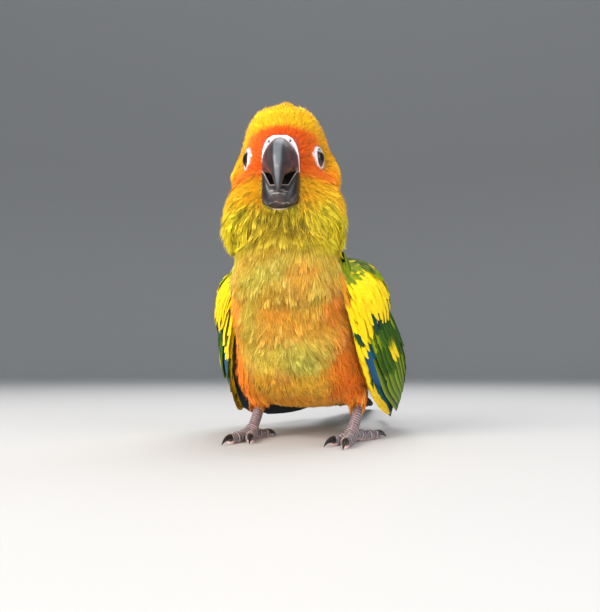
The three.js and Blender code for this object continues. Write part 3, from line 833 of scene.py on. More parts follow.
def coatSizesAt(places, layer):
    # length, half width and rise of the feather at each root, with the ruff's raised and the back's broadened
    left, ahead, up = inHead(places).T
    t, dorsal, lateral, _ = alongBody(places)
    onHead = places[:, 2] > 68
    count = len(places)
    length, half, rise = (sizeAt(size, places) for size in layer["sizes"])
    length = length * (1 + 0.14 * draw.normal(size=count))
    half = half * (1 + 0.14 * draw.normal(size=count))
    rise = rise * (1 + 0.25 * np.abs(draw.normal(size=count)))
    ruff = ruffShare(places)
    edge = band(up, -24.5, 7) * onHead
    clump = 0.5 + 0.5 * ripple(places, 3.2, 11.0)
    rise = rise + (0.3 + 0.9 * clump * draw.random(count)) * ruff + 2.0 * edge * clump * draw.random(count)
    length = length * (1 + 0.2 * edge)
    half = half * (1 + 0.35 * ruff * (layer is coatLayers["coat"]))
    ear = band(up, 0.5, 8.0) * band(ahead, -9.0, 8.0) * onHead
    peak = ease(14, 17, up) * band(left, 1.5, 3.4) * onHead
    corner = ease(6, 11, up) * ease(4, 9, np.abs(left)) * onHead
    flank = ease(0.5, 0.75, -lateral) * band(t, 0.42, 0.12) * (1 - ease(0.0, 0.4, dorsal)) * ~onHead
    rise = rise + (2.0 + 1.6 * (left > 0)) * ear * draw.random(count)
    rise = rise + 2.0 * peak * draw.random(count)
    rise = rise + (0.5 + 0.9 * draw.random(count)) * corner
    rise = rise + 3.6 * flank * draw.random(count)
    length = length * (1 + 0.5 * flank)
    clear = eyeReach(places)
    nearEye = (ahead > -1.5) & onHead & (clear < 8)
    length = np.where(nearEye, np.minimum(length, np.maximum(clear - 3.7, 0.6)), length)
    crown = ease(2, 8, up) * onHead
    length = length * (1 - 0.35 * crown)
    rise = rise * (1 - 0.2 * crown)
    shoulder = band(t, 0.17, 0.12) * ease(0.62, 0.85, np.abs(lateral)) * ease(-0.5, 0.0, dorsal)
    shoulder = shoulder * (1 - onHead)
    rise = rise + 2.4 * shoulder * draw.random(count)
    length = length * (1 + 0.5 * shoulder)
    ledge = foldShare(places, 1.2)
    rise = rise + 1.9 * ledge * (0.5 + 0.5 * draw.random(count))
    length = length * (1 + 0.15 * ledge)
    half = half * (1 + 0.9 * ease(0.05, 0.4, dorsal) * ~onHead) * (1 - 0.25 * onHead)
    return length, half, rise


# Parts of the coat, with the points of each one's leaves
coatParts = {"face": 1, "crown": 3, "cheeks": 6, "neck": 5, "breast": 5, "belly": 5, "back": 3}
partTriangles = 190000


def coatPart(p):
    # number of the part that each root belongs to
    _, _, up = inHead(p).T
    t, dorsal, _, _ = alongBody(p)
    body = np.where(dorsal > 0.1, 6, np.where(t < 0.2, 3, np.where(t < 0.32, 4, 5)))
    return np.where(p[:, 2] > 68, np.where(faceShare(p) > 0.45, 0, np.where(up > -4, 1, 2)), body)


def coatTint(root, normal, hairs):
    # darker in the folds across the front: painted shade
    tint = marking(root + normal) * (1 - 0.34 * foldShare(root))[:, None]
    if hairs:
        tint = over(tint, shades["crown"] * 1.04, 0.25 * draw.random(len(root)))
        dark = draw.random(len(root)) < 0.16 * ease(0.22, 0.4, alongBody(root)[0])
        tint = over(tint, tint * 0.42, dark)
    return tint


def dress(prefix, places, normals):
    layer, hairs = coatLayers[prefix], prefix == "down"
    partAt = coatPart(places)
    for number, (title, leafPoints) in enumerate(coatParts.items()):
        rows = np.nonzero(partAt == number)[0]
        shape = leafShape(1 if hairs else leafPoints)
        unwrap, slot = (headPatch, "plumage_face") if number < 3 else (bodyPatch, "plumage_breast")
        rootShade = 0.85 if hairs else 0.5 if title == "cheeks" else 0.7
        pieces = max(1, math.ceil(len(rows) * len(shape[1]) / partTriangles))
        for piece, some in enumerate(np.array_split(rows, pieces)):
            root, normal = places[some], normals[some]
            sizes = coatSizesAt(root, layer)
            tint = coatTint(root, normal, hairs)
            name = f"{prefix}_{title}" if pieces == 1 else f"{prefix}_{title}_{piece + 1}"
            tufts(name, root, normal, sizes, layer, shape, tint, unwrap(root), slot, rootShade)
            print(name, len(root), "feathers,", len(root) * len(shape[1]), "triangles")


dress("coat", places, normals)
places, normals = scatter(lambda p: 1 / np.sqrt(sizeAt("hairsPerMm", p)), 1.0)
onBack = ease(0.2, 0.5, alongBody(places)[1]) * (places[:, 2] < 70)
thinned = draw.random(len(places)) > np.maximum(0.25 * ruffShare(places), 0.9 * onBack)
chosen = ~staysBare(places) & thinned
dress("down", places[chosen], normals[chosen])


# Bill, cere and eyes
def markedFinish(name, grain, depth, deep, roughness, rougher, **sockets):
    # colour from the piece's markings, broken up by a fine grain that also gives the bump
    finish = Finish(name, **sockets)
    mark = finish.marks()
    speck = finish.noise(grain, 5.0)
    finish.feed("Base Color", finish.shaded(mark, speck * 0.5 + 0.76))
    finish.feed("Roughness", speck * rougher + roughness)
    finish.feed("Normal", finish.bump(speck, depth, deep * mm))
    return finish.material


hornFinish = markedFinish("bill_horn", 700.0, 0.3, 0.06, 0.27, 0.25, Coat_Weight=0.22, Coat_Roughness=0.14,
                          Specular_IOR_Level=0.38)
cereFinish = markedFinish("bare_skin", 1500.0, 0.4, 0.07, 0.42, 0.25, Subsurface_Weight=0.12,
                          Subsurface_Radius=(0.002, 0.0012, 0.001), Subsurface_Scale=1.0)
clawFinish = markedFinish("claw_horn", 500.0, 0.15, 0.05, 0.26, 0.2, Coat_Weight=0.2, Coat_Roughness=0.12)
eyeFinish = Finish("eye_gloss", Roughness=0.12, Coat_Weight=0.6, Coat_Roughness=0.03, Specular_IOR_Level=0.2)
eyeMark = eyeFinish.marks()
fleck = eyeFinish.noise(2600.0, 3.0)
eyeFinish.feed("Base Color", eyeFinish.blend(fleck * 0.35, eyeMark, (0.002, 0.0015, 0.0012, 1)))
eyeFinish = eyeFinish.material

# Stations from the cere to the hook: ridge ahead and up, cutting edge ahead and up, half width
upperBill = {
    "rows": [
        (8.5, 3.3, 5.5, -6.8, 5.8), (12.2, 3.1, 7.6, -6.9, 6.3), (15.6, 1.8, 9.8, -7.6, 6.1),
        (18.3, -1.0, 11.6, -8.3, 5.4), (20.0, -4.8, 13.3, -9.3, 4.3), (20.4, -8.5, 14.9, -10.9, 2.65),
        (19.7, -12.1, 15.9, -13.0, 1.75), (18.2, -15.2, 16.1, -15.0, 1.0), (16.8, -17.2, 16.4, -17.1, 0.2),
    ],
    # half a ring, from the ridge round to the palate: share across and down, at the cere and at the hook
    "arch": [(0, 0), (0.005, 0.13), (0.03, 0.25), (0.14, 0.46), (0.3, 0.71), (0.52, 0.93), (0.78, 1.0),
             (0.97, 1.0), (1.0, 0.94), (0.93, 0.8), (0.86, 0.45), (0.84, 0.0)],
    "round": [(0, 0), (0.015, 0.28), (0.07, 0.52), (0.17, 0.74), (0.32, 0.92), (0.5, 1.0), (0.7, 0.98),
              (0.88, 0.84), (0.98, 0.62), (1.0, 0.42), (1.0, 0.2), (1.0, 0.0)],
    "rings": 72, "across": 24,
}
billShades = palette(
    # ridge: the paler horn along the top ridge, lightened with a painted highlight
    slate=(47, 43, 45), ridge=(108, 114, 122), brown=(98, 54, 56), dark=(22, 18, 20),
    # mouth: the mouth's dark lining, darkened further as painted shade inside it
    worn=(176, 164, 154), rim=(240, 220, 212), mouth=(20, 12, 12), warm=(70, 52, 44),
)


def makeUpperBill():
    s = upperBill
    arch, rounded = np.array(s["arch"]), np.array(s["round"])
    rings, downs = [], []
    stations = np.arange(s["rings"]) / (s["rings"] - 1)
    for u in stations:
        ridgeAhead, ridgeUp, edgeAhead, edgeUp, half = rowsAt(s["rows"], u)
        section = mix(arch, rounded, float(ease(0.42, 0.72, u)))
        v, w = np.array([rowsAt(section, t) for t in np.linspace(0, 1, s["across"])]).T
        ahead, up = mix(ridgeAhead, edgeAhead, v), mix(ridgeUp, edgeUp, v)
        left = np.stack([w * half, ahead, up], -1)
        rings.append(np.concatenate([left, left[-2:0:-1] * [-1, 1, 1]]))
        downs.append(np.concatenate([v, v[-2:0:-1]]))
    q, v = np.array(rings), np.array(downs)
    q[..., 0] += 0.1 * ripple(q, 6, 3.0) * ease(0, 0.4, v)
    flat = q.reshape(-1, 3)
    v, u = v.ravel(), stations.repeat(v.shape[1])
    blot = ripple(flat, 3.2, 1.0) * 0.6 + ripple(flat, 1.1, 6.0) * 0.5
    # the palate takes the dark mouth tone: its lining with painted shade
    palate = (np.abs(flat[:, 0]) < 5) * (v > 0.82) * (u < 0.55) * ease(0.84, 0.9, 1 - np.abs(v - 0.86))
    colour = layered(
        billShades, "slate",
        ("brown", ease(0.12, 0.3, v) * (1 - ease(0.55, 0.8, u)) * ease(-0.7, 0.6, blot) * 0.9),
        ("dark", ease(0.15, 0.9, ripple(flat, 2.1, 8.0)) * ease(0.1, 0.3, v) * 0.65),
        # the paler band along the top ridge: the horn's own paler ridge with a painted highlight
        ("ridge", (1 - ease(0.012, 0.07, v)) * (1 - ease(0.75, 1, u)) * 0.7),
        ("worn", 0.5 * band(v, 0.97, 0.06) * ease(-0.3, 0.5, ripple(flat, 1.6, 4.0)) * (u < 0.6)),
        ("worn", 0.45 * ease(0.55, 0.9, ripple(flat, 0.9, 2.0)) * ease(0.5, 0.8, v) * (u < 0.5)),
        ("mouth", palate),
    )
    setDown(loft("upper_bill", fromHead(q), colour), hornFinish, "bill", "bill_upper")


makeUpperBill()

# Lower mandible: level by level, half width, front and back; its rim drops towards the front
lowerBill = {
    "rows": [
        (3.9, 10.8, 2.6), (5.85, 12.4, 2.0), (6.3, 13.3, 1.6), (6.45, 13.9, 1.2), (6.45, 14.2, 1.0),
        (6.45, 14.2, 0.8), (6.4, 13.9, 0.7), (6.3, 13.4, 0.6),
    ],
    # rings from the rim down into the mouth: in from the outside, and down
    "inside": [(0.12, -0.12), (0.4, -0.06), (0.6, 0.4), (0.8, 1.6), (1.4, 3.2), (2.6, 4.6), (4.2, 5.2)],
    # pale worn lines across its front: height, half length and how each one wanders
    "lines": [(-15.6, 3.0, 1.0), (-16.6, 2.2, 4.0), (-19.2, 3.6, 7.0)],
    "bottom": -21.3, "rimBack": -7.6, "rimFront": -13.4, "hollow": -16.5, "columns": 96, "levels": 34,
}


def makeLowerBill():
    s = lowerBill
    turn = np.linspace(0, 2 * math.pi, s["columns"], endpoint=False)
    sine, cosine = np.sin(turn), np.cos(turn)
    bend = lambda x, power: np.sign(x) * np.abs(x) ** power
    drop = np.clip((np.abs(sine) ** 0.8 - 0.5) / 0.46, 0, 1)
    rim = np.where(cosine > 0, mix(s["rimFront"], s["rimBack"], drop), s["rimBack"])
    rings, kinds = [], []

    def addRing(half, front, back, height, kind):
        middle = (front + back) / 2
        reach = np.where(cosine > 0, front - middle, middle - back)
        rings.append(np.stack([half * bend(sine, 0.8), middle + reach * bend(cosine, 0.72), height], -1))
        kinds.append(np.full(s["columns"], kind))

    for k in range(-1, s["levels"]):
        t = max(k, 0) / (s["levels"] - 1)
        half, front, back = rowsAt(s["rows"], t) - np.array([0.5, 0.5, -0.5]) * (k < 0)
        height = s["bottom"] + (rim - s["bottom"]) * t - 0.02 * (k < 0)
        height = height + 1.2 * (1 - ease(0, 0.2, t)) * np.abs(sine) ** 2
        addRing(half, front, back, height, t if k >= 0 else -1.0)
    half, front, back = s["rows"][-1]
    for step, (into, down) in enumerate(s["inside"]):
        height = np.maximum(rim - down, s["hollow"])
        addRing(half - into, front - into * 1.2, back + into, height, 1.05 + step)
    q = np.array(rings)
    kind = np.array(kinds).ravel()
    flat = q.reshape(-1, 3)
    left, ahead, up = flat.T
    side = np.abs(left)
    face = ease(6, 9, ahead)
    streak = ripple(flat * [1, 1, 0.28], 1.5, 5.0)
    edge = band(up, rim.repeat(len(rings)).reshape(s["columns"], -1).T.ravel(), 0.42) * (kind < 2.2)
    layers = [
        ("ridge", ease(-0.1, 0.8, streak) * 0.4 * ease(2.0, 4.5, side)),
        ("warm", ease(-0.2, 0.7, ripple(flat, 3.0, 3.0)) * ease(16.5, 19, -up) * 0.8),
        ("dark", ease(0.1, 0.8, ripple(flat, 2.0, 2.5)) * 0.6),
        ("worn", edge * 0.9),
    ]
    for height, reach, seed in s["lines"]:
        wave = height + 0.35 * ripple(flat, 2.2, seed) + 0.22 * ripple(flat, 0.8, seed + 2) - 0.1 * side
        broken = ease(-0.6, 0.2, ripple(flat, 1.2, seed + 5))
        shown = (1 - ease(reach - 0.8, reach + 0.5, side)) * face * broken
        layers.append(("worn", band(up, wave, 0.2) * shown * 0.9))
    # the rings inside the mouth take the dark mouth tone: its lining with painted shade
    layers += [("rim", band(kind, 0.0, 0.05 + 0.06 * ease(2, 5, side)) * face), ("mouth", kind > 2.5)]
    colour = layered(billShades, billShades["slate"] * 0.5, *layers)
    setDown(loft("lower_bill", fromHead(q), colour), hornFinish, "bill", "bill_lower")


makeLowerBill()

# Cere: a fleshy band from gape to gape, its outer line under the feathers and its inner line on the horn
cere = {
    "outer": [(-6.4, 6.2, -8.0), (-6.4, 7.2, -6.9), (-6.35, 8.2, -4.7), (-6.25, 9.2, -1.9),
              (-5.75, 10.3, 0.4), (-4.6, 11.1, 2.6), (-2.7, 11.7, 3.9), (0, 12.0, 4.2)],
    "inner": [(-6.3, 6.6, -8.0), (-6.3, 7.9, -6.9), (-6.2, 9.3, -4.5), (-5.7, 10.7, -1.7), (-4.25, 11.6, 0.4),
              (-2.75, 12.2, 1.8), (-1.5, 12.5, 2.7), (0, 12.6, 3.2)],
    "puff": [(0.1,), (0.15,), (0.2,), (0.4,), (0.75,), (0.85,), (0.65,), (0.35,)],
    "nostril": (3.7, 2.1), "hole": 0.52, "sections": 180, "around": 28,
}
bareShades = palette(
    cere=(250, 242, 245), lilac=(218, 206, 218), pink=(214, 168, 160), horn=(150, 140, 150),
    nostril=(70, 52, 56), lids=(236, 228, 230), lidFolds=(205, 190, 200),
    eyeEdge=(30, 24, 24), iris=(58, 36, 24), pupil=(7, 6, 7),
)


def makeCere():
    s = cere
    across = lambda line: Path(line + [(-x, y, z) for x, y, z in line[-2::-1]])
    outer, inner = across(s["outer"]), across(s["inner"])
    puffs = s["puff"] + s["puff"][-2::-1]
    middle = np.array([0, 4.0, -4.0])
    steps = np.linspace(0, 1, s["around"])
    swell = np.sin(math.pi * steps)
    sections = []
    for t in np.arange(s["sections"]) / (s["sections"] - 1):
        a, b = outer.at(t), inner.at(t)
        puff = rowsAt(puffs, t)[0]
        out = unit((a + b) / 2 - middle)
        top = a + (b - a) * steps[:, None] + out * (puff * swell ** 0.7)[:, None] * 0.9
        top[:, 1] += 0.3 * swell * puff
        under = [b - out * 0.5, b - out * 1.2, b - out * 2.0 + (a - b) * 0.2, b - out * 2.5 + (a - b) * 0.5,
                 a - out * 2.6 + (b - a) * 0.2, a - out * 2.2, a - out * 1.4, a - out * 0.6]
        sections.append(np.concatenate([top, under]))
    q = np.array(sections)
    share = np.tile(np.concatenate([steps, np.ones(4), np.zeros(4)]), s["sections"])
    flat = q.reshape(-1, 3)
    left, _, up = flat.T
    gap = np.sqrt((np.abs(left) - s["nostril"][0]) ** 2 + (up - s["nostril"][1]) ** 2)
    top = (share > 0.02) & (share < 0.98)
    dent = (1 - ease(s["hole"] * 0.35, s["hole"], gap)) * top
    rim = band(gap, s["hole"] * 1.5, s["hole"] * 0.9) * top
    flat[:, 1] += rim * 0.18 - dent * 1.3
    rough = (0.06 * ripple(flat, 1.0, 2.0) + 0.035 * ripple(flat, 0.45, 5.0))[:, None] * top[:, None]
    flat += unit(flat - middle) * rough
    # the nostrils' dents are painted dark: painted shade inside the openings
    colour = layered(
        bareShades, "cere",
        ("lilac", ease(-0.3, 0.7, ripple(flat, 2.4, 4.0)) * 0.6),
        ("pink", band(share, 0.0, 0.18) * 0.6),
        ("horn", band(share, 1.0, 0.1) * 0.6),
        ("nostril", dent),
    )
    setDown(loft("cere_skin", fromHead(q), colour), cereFinish, "bare_skin", "cere")


makeCere()

# The lids' section is radius from the eye's axis and height along it
lids = {
    "section": [(3.12, 2.6), (3.15, 3.0), (3.25, 3.25), (3.4, 3.3), (3.75, 3.15), (4.15, 2.85), (4.55, 2.35),
                (4.95, 1.7), (5.15, 0.9), (4.7, 0.2), (3.9, 0.9), (3.4, 1.8)],
    "rows": 40, "columns": 96, "forward": 0.06, "folds": 34,
}


def makeLids(side, name):
    aim = eyeAim(side)
    forward = unit(np.array([0, 1.0, 0]) - aim[1] * aim)
    upward = unit(np.cross(aim, forward))
    if upward[2] < 0:
        upward = -upward
    rows, columns = lids["rows"], lids["columns"]
    turn = np.linspace(0, 2 * math.pi, columns, endpoint=False)
    sine, cosine = np.sin(turn), np.cos(turn)
    section = lids["section"] + lids["section"][:1]
    radius, height = np.array([rowsAt(section, t) for t in np.linspace(0, 1, rows, endpoint=False)]).T
    far = ease(3.2, 4.6, radius)[:, None]
    stretch = 1 + lids["forward"] * far * np.maximum(np.cos(turn + 0.5), 0)[None]
    stretch = stretch - 0.1 * far * np.abs(sine)[None]
    almond = 1 - 0.09 * np.cos(2 * turn)[None] * (1 - far)
    r = radius[:, None] * stretch * almond
    grain = ripple(np.stack([cosine[None] * r, sine[None] * r, r * 0], -1), 0.9, 3.0)
    ridge = np.cos(turn * lids["folds"])[None] * band(radius, 3.3, 0.6)[:, None] * 0.05
    lift = height[:, None] + (0.05 * grain + ridge)
    points = (eyeMiddle(side) + aim * lift[..., None] + forward * (cosine[None] * r)[..., None]
              + upward * (sine[None] * r)[..., None])
    outward = np.repeat(radius, columns)
    colour = layered(bareShades, "lids", ("lidFolds", ease(0, 0.8, grain.ravel()) * 0.7))
    colour = over(colour, shades["lores"], ease(4.55, 4.9, outward))
    faces = gridFaces(rows, columns, looped=True)
    piece = buildMesh(f"lids_{name}", fromHead(points.reshape(-1, 3)), faces, colour, smooth=True)
    editMesh(piece.data, lambda work: bmesh.ops.recalc_face_normals(work, faces=work.faces))
    setDown(piece, cereFinish, "bare_skin", f"eyelids_{name}")


def makeEye(side, name):
    aim = eyeAim(side)
    deselectAll()
    bpy.ops.mesh.primitive_uv_sphere_add(segments=64, ring_count=48, radius=eyes["radius"] * mm)
    ball = bpy.context.active_object
    ball.name = ball.data.name = f"eyeball_{name}"
    co = np.empty(len(ball.data.vertices) * 3, np.float32)
    ball.data.vertices.foreach_get("co", co)
    turn = np.array(Vector((0, 0, 1)).rotation_difference(Vector(aim)).to_matrix())
    q = co.reshape(-1, 3) / mm @ turn.T
    far = q @ aim
    around = np.linalg.norm(q - far[:, None] * aim, axis=1)
    q = q + aim * (0.22 * (1 - ease(1.0, 3.4, around)) * (far > 0))[:, None]
    setPoints(ball.data, fromHead(q + eyeMiddle(side)))
    addMarking(ball.data, layered(
        bareShades, "eyeEdge",
        ("iris", (1 - ease(3.0, 3.2, around)) * (far > 0)),
        ("pupil", (1 - ease(eyes["pupil"] - 0.15, eyes["pupil"] + 0.15, around)) * (far > 0)),
    ))
    ball.data.update()
    onlySelect(ball)
    bpy.ops.object.shade_smooth()
    bpy.ops.object.mode_set(mode="EDIT")
    bpy.ops.mesh.select_all(action="SELECT")
    bpy.ops.mesh.normals_make_consistent(inside=False)
    bpy.ops.object.mode_set(mode="OBJECT")
    setDown(ball, eyeFinish, "eye", f"eye_{name}")


for side, name in ((1, "left"), (-1, "right")):
    makeLids(side, name)
    makeEye(side, name)
print("bill, cere and eyes made")

# Larger feathers
# Across a vane: edge, half vane, beside the shaft, shaft, and back out
vaneColumns = np.array([-1.0, -0.55, -0.1, 0.0, 0.1, 0.55, 1.0])
vaneRidge = np.array([0.0, 0.35, 0.75, 1.35, 0.75, 0.35, 0.0])
patchSize = 0.055  # of one feather on the texture


def vaneOutline(s, blunt):
    # half width along a vane, as a share of its widest
    swell = np.minimum(1, 0.42 + 2.4 * s) * (0.94 + 0.06 * np.sin(math.pi * s))
    end = np.clip((s - blunt) / (1 - blunt), 0, 0.992)
    return swell * (1 - end**2.1) ** 0.62


class Vanes:
    # collects large feathers and makes one mesh of them
    def __init__(self):
        self.points, self.faces, self.colours, self.barbs, self.patches = [], [], [], [], []
        self.count = 0

    def add(self, place, width, length, look, rows=12, blunt=0.82, camber=0.1, thick=0.22, splits=1,
            patch=(0.5, 0.5)):
        s = np.linspace(0, 1, rows)
        at, across, up = place(s)
        half = width / 2 * vaneOutline(s, blunt)
        sides = np.ones((rows, 7))
        sides[:, 0] += draw.normal(0, 0.02, rows)
        sides[:, 6] += draw.normal(0, 0.02, rows)
        for _ in range(splits):
            row = draw.integers(int(rows * 0.45), rows - 1)
            sides[row, draw.choice([0, 6])] -= draw.uniform(0.08, 0.25)
        w = vaneColumns[None] * sides
        arch = camber * width * (1 - vaneColumns**2)[None] + thick * vaneRidge[None]
        top = at[:, None] + across[:, None] * (w * half[:, None])[..., None] + up[:, None] * arch[..., None]
        under = at + up * (camber * width - thick * 0.8)
        grid = np.concatenate([top, under[:, None]], 1)
        faces = []
        for r in range(rows - 1):
            a, b = r * 8, (r + 1) * 8
            for c in range(6):
                faces += [(a + c, a + c + 1, b + c + 1), (a + c, b + c + 1, b + c)]
            faces += [(a + 6, a + 7, b + 7), (a + 6, b + 7, b + 6), (a + 7, a, b), (a + 7, b, b + 7)]
        last = (rows - 1) * 8
        for c in range(6):
            faces += [(c + 1, c, 7), (last + c, last + c + 1, last + 7)]
        faces = np.array(faces)
        if np.dot(np.cross(across[1], at[2] - at[1]), up[1]) < 0:
            faces = faces[:, ::-1]
        shareW = np.concatenate([vaneColumns, [0.0]])[None].repeat(rows, 0)
        shareS = s[:, None].repeat(8, 1)
        colours = look(shareS, shareW, np.arange(8)[None].repeat(rows, 0) == 7)
        bake = [patch[0] + shareW * patchSize * 0.3, patch[1] + (shareS - 0.5) * patchSize]
        self.points.append(grid.reshape(-1, 3))
        self.faces.append(faces + self.count)
        self.colours.append(colours.reshape(-1, 3))
        self.barbs.append(np.stack([shareW * width / 2, shareS * length], -1).reshape(-1, 2))
        self.patches.append(np.stack(bake, -1).reshape(-1, 2))
        self.count += rows * 8

    def make(self, name, material, slot, *nodes, mirror=None):
        rows = (self.points, self.faces, self.colours, self.barbs, self.patches)
        points, faces, colours, barbs, patches = (np.concatenate(row) for row in rows)
        if mirror is not None:
            points = points * [-1, 1, 1] + [mirror, 0, 0]
            faces = faces[:, ::-1]
        piece = buildMesh(name, points, faces, colours, barbs, patches, smooth=True)
        onlySelect(piece)
        bpy.ops.object.shade_smooth_by_angle(angle=math.radians(50))
        print(name, len(faces), "triangles")
        setDown(piece, material, slot, *nodes)


def vary(spread):
    # a factor that strays a little from 1
    return 1 + draw.normal(0, spread)


def featherLook(base, edge=None, tip=None, inner=None, edgeFrom=0.7, tipFrom=0.78, innerSide=1, tone=1.0,
                shaft=0.55):
    # colour over one feather from its place along and across
    def look(s, w, below):
        colour = base
        if inner is not None:
            colour = over(colour, inner, ease(-0.15, 0.3, w * innerSide))
        if edge is not None:
            colour = over(colour, edge, ease(edgeFrom, 1.0, np.abs(w)) * ease(0.15, 0.5, s))
        if tip is not None:
            colour = over(colour, tip, ease(tipFrom, tipFrom + 0.16, s + 0.05 * np.abs(w)))
        colour = over(colour, colour * shaft, (np.abs(w) < 0.05) & ~below)
        # darker towards the root: the feathers' grey bases and painted shade under the ones that lie over
        # them
        colour = colour * (0.62 + 0.38 * ease(0.0, 0.35, s))[..., None] * tone
        # the underside darker: painted shade
        return over(colour, colour * 0.55, below * 1.0)

    return look


# Feet: shank, palm and toes as one skin with scutes, and a claw on each toe
legs = {
    "left": {"side": 1, "palm": (20, -5, 3.4), "turned": -9},
    "right": {"side": -1, "palm": (-18.5, -3, 3.4), "turned": -4},
}
# Turn, length and radius of each toe, by its number
toes = {2: (-12, 12.5, 2.0), 3: (11, 17.5, 2.1), 4: (162, 16, 2.0), 1: (203, 9.5, 1.8)}
footSizes = {
    "voxel": 0.24 * mm, "scute": 1.45, "ridge": 0.18, "claw": 7.5, "sides": 18, "clawSides": 16,
    "thighFeathers": 240,
}
footShades = palette(
    scute=(38, 33, 40), border=(220, 204, 206), shank=(178, 152, 158), sole=(220, 184, 180),
    claw=(24, 21, 22), clawRoot=(66, 60, 62),
)
footFinish = Finish("foot_skin", Roughness=0.5, Subsurface_Weight=0.06,
                    Subsurface_Radius=(0.002, 0.001, 0.0008))
footMark = footFinish.marks()
cells = footFinish.node("ShaderNodeTexVoronoi", {"feature": "DISTANCE_TO_EDGE"},
                        {"Vector": footFinish.place(), "Scale": 1300.0})
footGrain = footFinish.noise(2400.0, 4.0)
footFinish.feed("Base Color", footFinish.blend(footGrain * 0.3, footMark, (0.10, 0.06, 0.06, 1)))
footFinish.feed("Roughness", footGrain * 0.3 + 0.34)
footFinish.feed("Normal", footFinish.bump(cells.maths("MINIMUM", 0.25) + footGrain * 0.1, 0.5, 0.16 * mm))
footFinish = footFinish.material


def sweep(line, radii, sides, floor=None, flat=1.0):
    line = np.asarray(line, float)
    ways = unit(np.gradient(line, axis=0))
    rings = []
    for p, way, radius in zip(line, ways, radii):
        sideways = unit(np.cross([0, 0, 1.0], way)) if abs(way[2]) < 0.98 else np.array([1.0, 0, 0])
        up = unit(np.cross(way, sideways))
        turn = (np.arange(sides) + 0.5) / sides * 2 * math.pi
        ring = p + radius * (np.cos(turn)[:, None] * sideways + flat * np.sin(turn)[:, None] * up)
        if floor is not None:
            ring[:, 2] = np.maximum(ring[:, 2], floor)
        rings.append(ring)
    return np.array(rings)


def toeLine(leg, digit):
    # the toe's middle line, its way over the floor, and where its claw starts
    angle, length, radius = toes[digit]
    turn = math.radians(leg["side"] * (angle + leg["turned"]))
    way = np.array([math.sin(turn), -math.cos(turn), 0])
    palm = np.array(leg["palm"], float)
    reach = lambda share, height: np.array([palm[0], palm[1], height]) + way * length * share
    levels = ((0, palm[2]), (0.35, radius * 0.95), (0.7, radius * 0.85), (1, radius * 0.8))
    return Path([reach(*level) for level in levels]), way, reach(1, radius * 0.95)


def placeOnFoot(p, lines):
    # nearest toe or shank, how far along it, how far to its side, and how far round from its top
    best = np.full(len(p), 1e9)
    digitAt, along, across, top = (np.zeros(len(p)) for _ in range(4))
    for line, digit in lines:
        steps = np.linalg.norm(np.diff(line, axis=0), axis=1)
        run = np.concatenate([[0], np.cumsum(steps)])
        gap = ((p[:, None] - line[None]) ** 2).sum(-1)
        near = gap.argmin(1)
        off = p - line[near]
        way = unit(np.gradient(line, axis=0))[near]
        sideways = unit(np.cross([0, 0, 1.0], way))
        up = np.cross(way, sideways)
        x, z = (off * sideways).sum(-1), (off * up).sum(-1)
        mine = gap.min(1) < best
        best = np.where(mine, gap.min(1), best)
        digitAt = np.where(mine, digit, digitAt)
        along = np.where(mine, run[near] + (off * way).sum(-1), along)
        across = np.where(mine, x, across)
        top = np.where(mine, z / np.maximum(np.hypot(x, z), 1e-6), top)
    return digitAt, along, across, top


def makeFootSkin(name, ankle, palm):
    leg = legs[name]
    t = np.linspace(0, 1, 26)
    shankPath = Path([ankle + [0, -2.4, 2.2], ankle, palm + [0, 1.5, 1.2], palm + [0, -1, 0.4]])
    shankLine = np.array([shankPath.at(x) for x in t])
    parts = [loft("shank", sweep(shankLine, 1.95 + 0.5 * (1 - t) ** 4, footSizes["sides"]))]
    lines = [(shankLine, 0)]
    for digit, (_, length, radius) in toes.items():
        path, _, _ = toeLine(leg, digit)
        joints = 3 if length > 14 else 2
        line = np.array([path.at(x) for x in t])
        swell = radius * (1.08 - 0.3 * t + 0.1 * np.cos(2 * math.pi * joints * t))
        parts.append(loft("toe", sweep(line, swell, footSizes["sides"], 0.0)))
        lines.append((line, digit))
    deselectAll()
    bpy.ops.mesh.primitive_uv_sphere_add(segments=24, ring_count=16, radius=2.9 * mm,
                                         location=toMetres(palm - [0, 0, 0.5]))
    foot = joined(f"foot_skin_{name}", [*parts, bpy.context.active_object])
    modify(foot, (
        ("REMESH", {"mode": "VOXEL", "voxel_size": footSizes["voxel"], "use_smooth_shade": True}),
        ("SMOOTH", {"factor": 0.5, "iterations": 6}),
    ))
    p, n, _ = meshArrays(foot.data)
    digitAt, along, across, top = placeOnFoot(p, lines)
    onToe = digitAt > 0
    phase = along / footSizes["scute"] + 0.5 * (across > 0) + 0.12 * ripple(p, 2.0, 1.0)
    cell = phase - np.floor(phase)
    seam = np.maximum(np.maximum(band(cell, 0.0, 0.2), band(cell, 1.0, 0.2)), band(across, 0.0, 0.14) * 0.7)
    cover = ease(-0.75, -0.35, top) * np.where(onToe, 1, 0.9)
    plate = (1 - seam) * cover
    height = footSizes["ridge"] * (plate * (0.6 + 0.4 * cell) - 0.35 * cover)
    bumps = 0.07 * ripple(p, 0.9, 3.0) * (1 - cover)
    p = p + n * (height + bumps)[:, None]
    p[:, 2] = np.where(p[:, 2] < 0.06, 0, p[:, 2])  # flat where it stands on the floor
    setPoints(foot.data, p)
    c = footShades
    toe = layered(c, "border", ("sole", 1 - cover))
    shank = layered(c, "shank", ("border", seam * cover))
    dark = plate * np.where(onToe, 0.98, 0.8) * (0.85 + 0.15 * ripple(p, 1.4, 7.0))
    addMarking(foot.data, over(np.where(onToe[:, None], toe, shank), c["scute"], dark))
    foot.data.update()
    setDown(foot, footFinish, "foot_skin", f"foot_{name}", f"tarsus_{name}")


